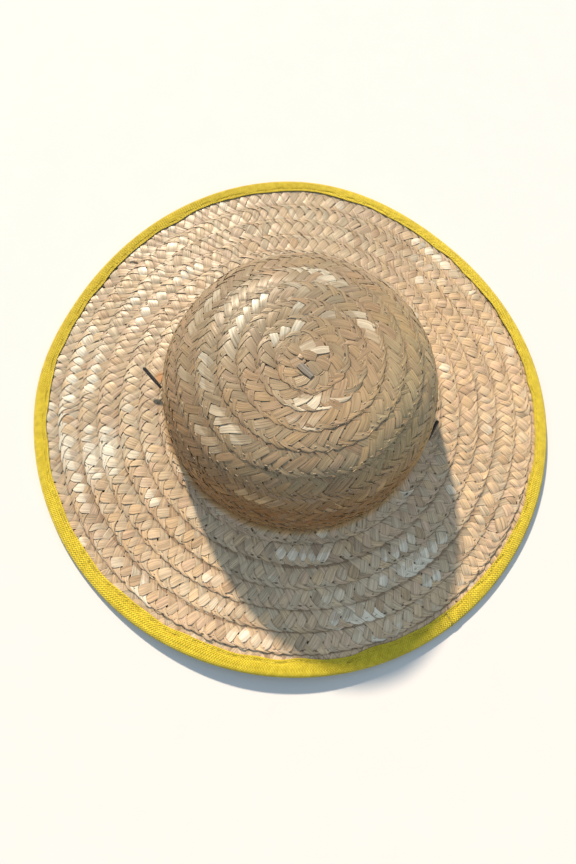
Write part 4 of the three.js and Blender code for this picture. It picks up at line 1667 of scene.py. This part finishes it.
class HAT_OT_binding(Operator):
    """Folds the tape over the brim's edge and stitches its hem down"""

    bl_idname = "hat.binding"
    bl_label = "Brim Binding"

    def execute(self, context):
        tape = context.scene.straw_hat.tape
        plait = context.scene.straw_hat.plait
        noise = Noise(SEEDS["binding"])
        columns = TAPE_COLUMNS
        turn = np.linspace(0, 360, columns + 1)
        azimuth = TAPE_JOINT + turn
        front = smooth(1 - turn_from(azimuth, -90) / 75)
        wave = ring_wave(noise, turn, *TAPE_WAVES["hem"]) * tape.hem_wave
        hem = tape.width + front * tape.front_width + wave
        groove = tape.stitch_inset + ring_wave(noise, turn, *TAPE_WAVES["groove"]) * GROOVE_WAVE
        depth = tape.pucker * np.clip(0.75 + 0.8 * ring_wave(noise, turn, *TAPE_WAVES["pucker"]), 0.15, 2.2)
        ripple = ring_wave(noise, turn, *TAPE_WAVES["ripple"]) * RIPPLE
        settled = plait_settles(plait, azimuth)

        # pucker holds each ring's share of painted shade in the hem's groove
        inward, offset, pucker = [], [], []

        def course(place, height, shade=0.0):
            inward.append(place)
            offset.append(height + np.zeros(columns + 1))
            pucker.append(shade + np.zeros(columns + 1))

        def hem_sink(place):
            return settled * smooth((place - 0.001) / FACE_REACH)

        for inset in FACE_INSETS:
            place = hem - inset
            rounded = HEM_ROUND * math.exp(-inset / HEM_ROUND_REACH)
            height = hem_height(inset) - rounded
            near = np.exp(-(((inset - groove) / GROOVE_REACH) ** 2))
            lifted = ripple * math.exp(-inset / 0.0022)
            course(place, height - depth * near + lifted - hem_sink(place), near * depth / 0.0006)
        for place, height in EDGE_FOLD:
            course(np.full(columns + 1, place), height)
        for inset in UNDER_INSETS:
            place = hem - inset
            rounded = HEM_ROUND * math.exp(-inset / HEM_ROUND_REACH)
            near = np.exp(-(((inset - groove) / GROOVE_REACH) ** 2))
            height = TAPE_FACE + (BINDING_HALF - TAPE_FACE) * smooth(inset / FACE_REACH) - rounded
            course(place, -(height - depth * near * 0.6 - ripple * math.exp(-inset / 0.002)), near * 0.4)
        for place, height in INSIDE_COURSES:
            where = hem * place
            sink = hem_sink(where) if height > 0 else 0
            course(where, height / 1000 - sink)
        inward, offset, pucker = (np.stack(part) for part in (inward, offset, pucker))

        arc = np.radians(turn) * TAPE_RADIUS
        doubled = np.zeros(inward.shape)
        for joint in (0, arc[-1]):
            far = arc[None] - joint - JOINT_PLACE - inward
            doubled += smooth((far + JOINT_HALF) / JOINT_EDGE) * smooth((JOINT_HALF - far) / JOINT_EDGE)
        outside = (np.arange(len(inward)) < OUTER_RINGS)[:, None]
        offset = offset + doubled * outside * np.where(offset > 0, JOINT_RISE, 0)
        points, _ = hat_point(azimuth[None], HAT_LENGTH - inward, offset)
        points[..., 2] = np.maximum(points[..., 2], 0)
        rings = len(inward)
        step = np.linalg.norm(np.diff(points, axis=0), axis=2).mean(axis=1)
        girth = np.concatenate(([0], np.cumsum(step)))
        warp = (arc[None] + girth[:, None]) / math.sqrt(2)
        weft = (arc[None] - girth[:, None]) / math.sqrt(2)
        weave = np.stack((warp, weft, np.zeros(warp.shape)), axis=-1)
        bands = TAPE_BANDS
        per_band = columns // bands
        here = np.arange(rings)[:, None] * (columns + 1) + np.arange(columns)[None]
        above = (np.arange(rings) + 1)[:, None] % rings * (columns + 1) + np.arange(columns)[None]
        quads = np.stack((here, above, above + 1, here + 1), axis=-1).reshape(-1, 4)
        side = np.arange(columns)
        left = side % per_band / per_band * 0.98 + 0.01
        right = left + 0.98 / per_band
        whole = np.concatenate((girth, [girth[-1] + 0.002]))
        low_v = whole[:-1] / whole[-1] * 0.96 + 0.02
        high_v = whole[1:] / whole[-1] * 0.96 + 0.02
        band = side // per_band
        u = np.stack((left, left, right, right), axis=-1)[None].repeat(rings, axis=0)
        v = np.stack((low_v, high_v, high_v, low_v), axis=-1)[:, None].repeat(columns, axis=1)
        v = (v + band[None, :, None]) / bands
        values = {
            "weave": ("FLOAT_VECTOR", weave.reshape(-1, 3)),
            "pucker": ("FLOAT", np.clip(pucker, 0, 1).reshape(-1)),
        }
        finish = tape_finish(tape)
        bake_uv = np.stack((u, v), axis=-1)
        piece = mesh_object("binding_tape", points.reshape(-1, 3), quads, finish, bake_uv, values)
        weld_ends(piece.data)
        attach(piece, "root")
        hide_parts("brim_binding")

        count = int(arc[-1] / HEM_STITCH_PITCH)
        centre = (np.arange(count) + 0.5) * HEM_STITCH_PITCH
        share = np.linspace(-1, 1, 6)
        where = centre[:, None] + share * HEM_STITCH_HALF
        turned = np.degrees(where / TAPE_RADIUS)
        place = np.interp(turned, turn, hem - groove)
        low_at = hem_height(0.0023) - np.interp(turned, turn, depth)
        lift = low_at - np.interp(turned, turn, settled) * smooth((place - 0.001) / FACE_REACH) + HEM_ARCH
        points, normals = hat_point(TAPE_JOINT + turned, HAT_LENGTH - place, lift)
        finish = thread_finish("Binding Thread", tape.colour_light, tape.colour_deep)
        piece = tube("binding_stitches", (points, normals), HEM_THREAD_RADIUS, 0.85, finish)
        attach(piece, "root")
        return {"FINISHED"}


class HAT_PT_hat(Panel):
    """The hat's pieces and settings in the sidebar"""

    bl_idname = "HAT_PT_hat"
    bl_label = "Straw Hat"
    bl_space_type = "VIEW_3D"
    bl_region_type = "UI"
    bl_category = "Hat"

    def draw(self, context):
        layout = self.layout
        hat = context.scene.straw_hat
        for step in STEPS:
            layout.operator(step.bl_idname)
        for name in ("plait", "tape", "elastic", "stage"):
            box = layout.box()
            box.label(text=name.capitalize())
            group = getattr(hat, name)
            for key in group.bl_rna.properties.keys():
                if key not in ("rna_type", "name"):
                    box.prop(group, key)


STEPS = (HAT_OT_stage, HAT_OT_elastic, HAT_OT_plait, HAT_OT_seam, HAT_OT_straw_ends, HAT_OT_binding)
SETTINGS = (PlaitSettings, TapeSettings, ElasticSettings, StageSettings, HatSettings)


def register():
    for item in (*SETTINGS, *STEPS, HAT_PT_hat):
        bpy.utils.register_class(item)
    bpy.types.Scene.straw_hat = PointerProperty(type=HatSettings)


def unregister():
    del bpy.types.Scene.straw_hat
    for item in (HAT_PT_hat, *STEPS[::-1], *SETTINGS[::-1]):
        bpy.utils.unregister_class(item)


def main():
    register()
    bpy.ops.hat.stage()
    bpy.ops.hat.elastic()
    bpy.ops.hat.plait()
    bpy.ops.hat.seam()
    bpy.ops.hat.straw_ends()
    bpy.ops.hat.binding()
    bpy.context.view_layer.update()


if __name__ == "__main__":
    main()
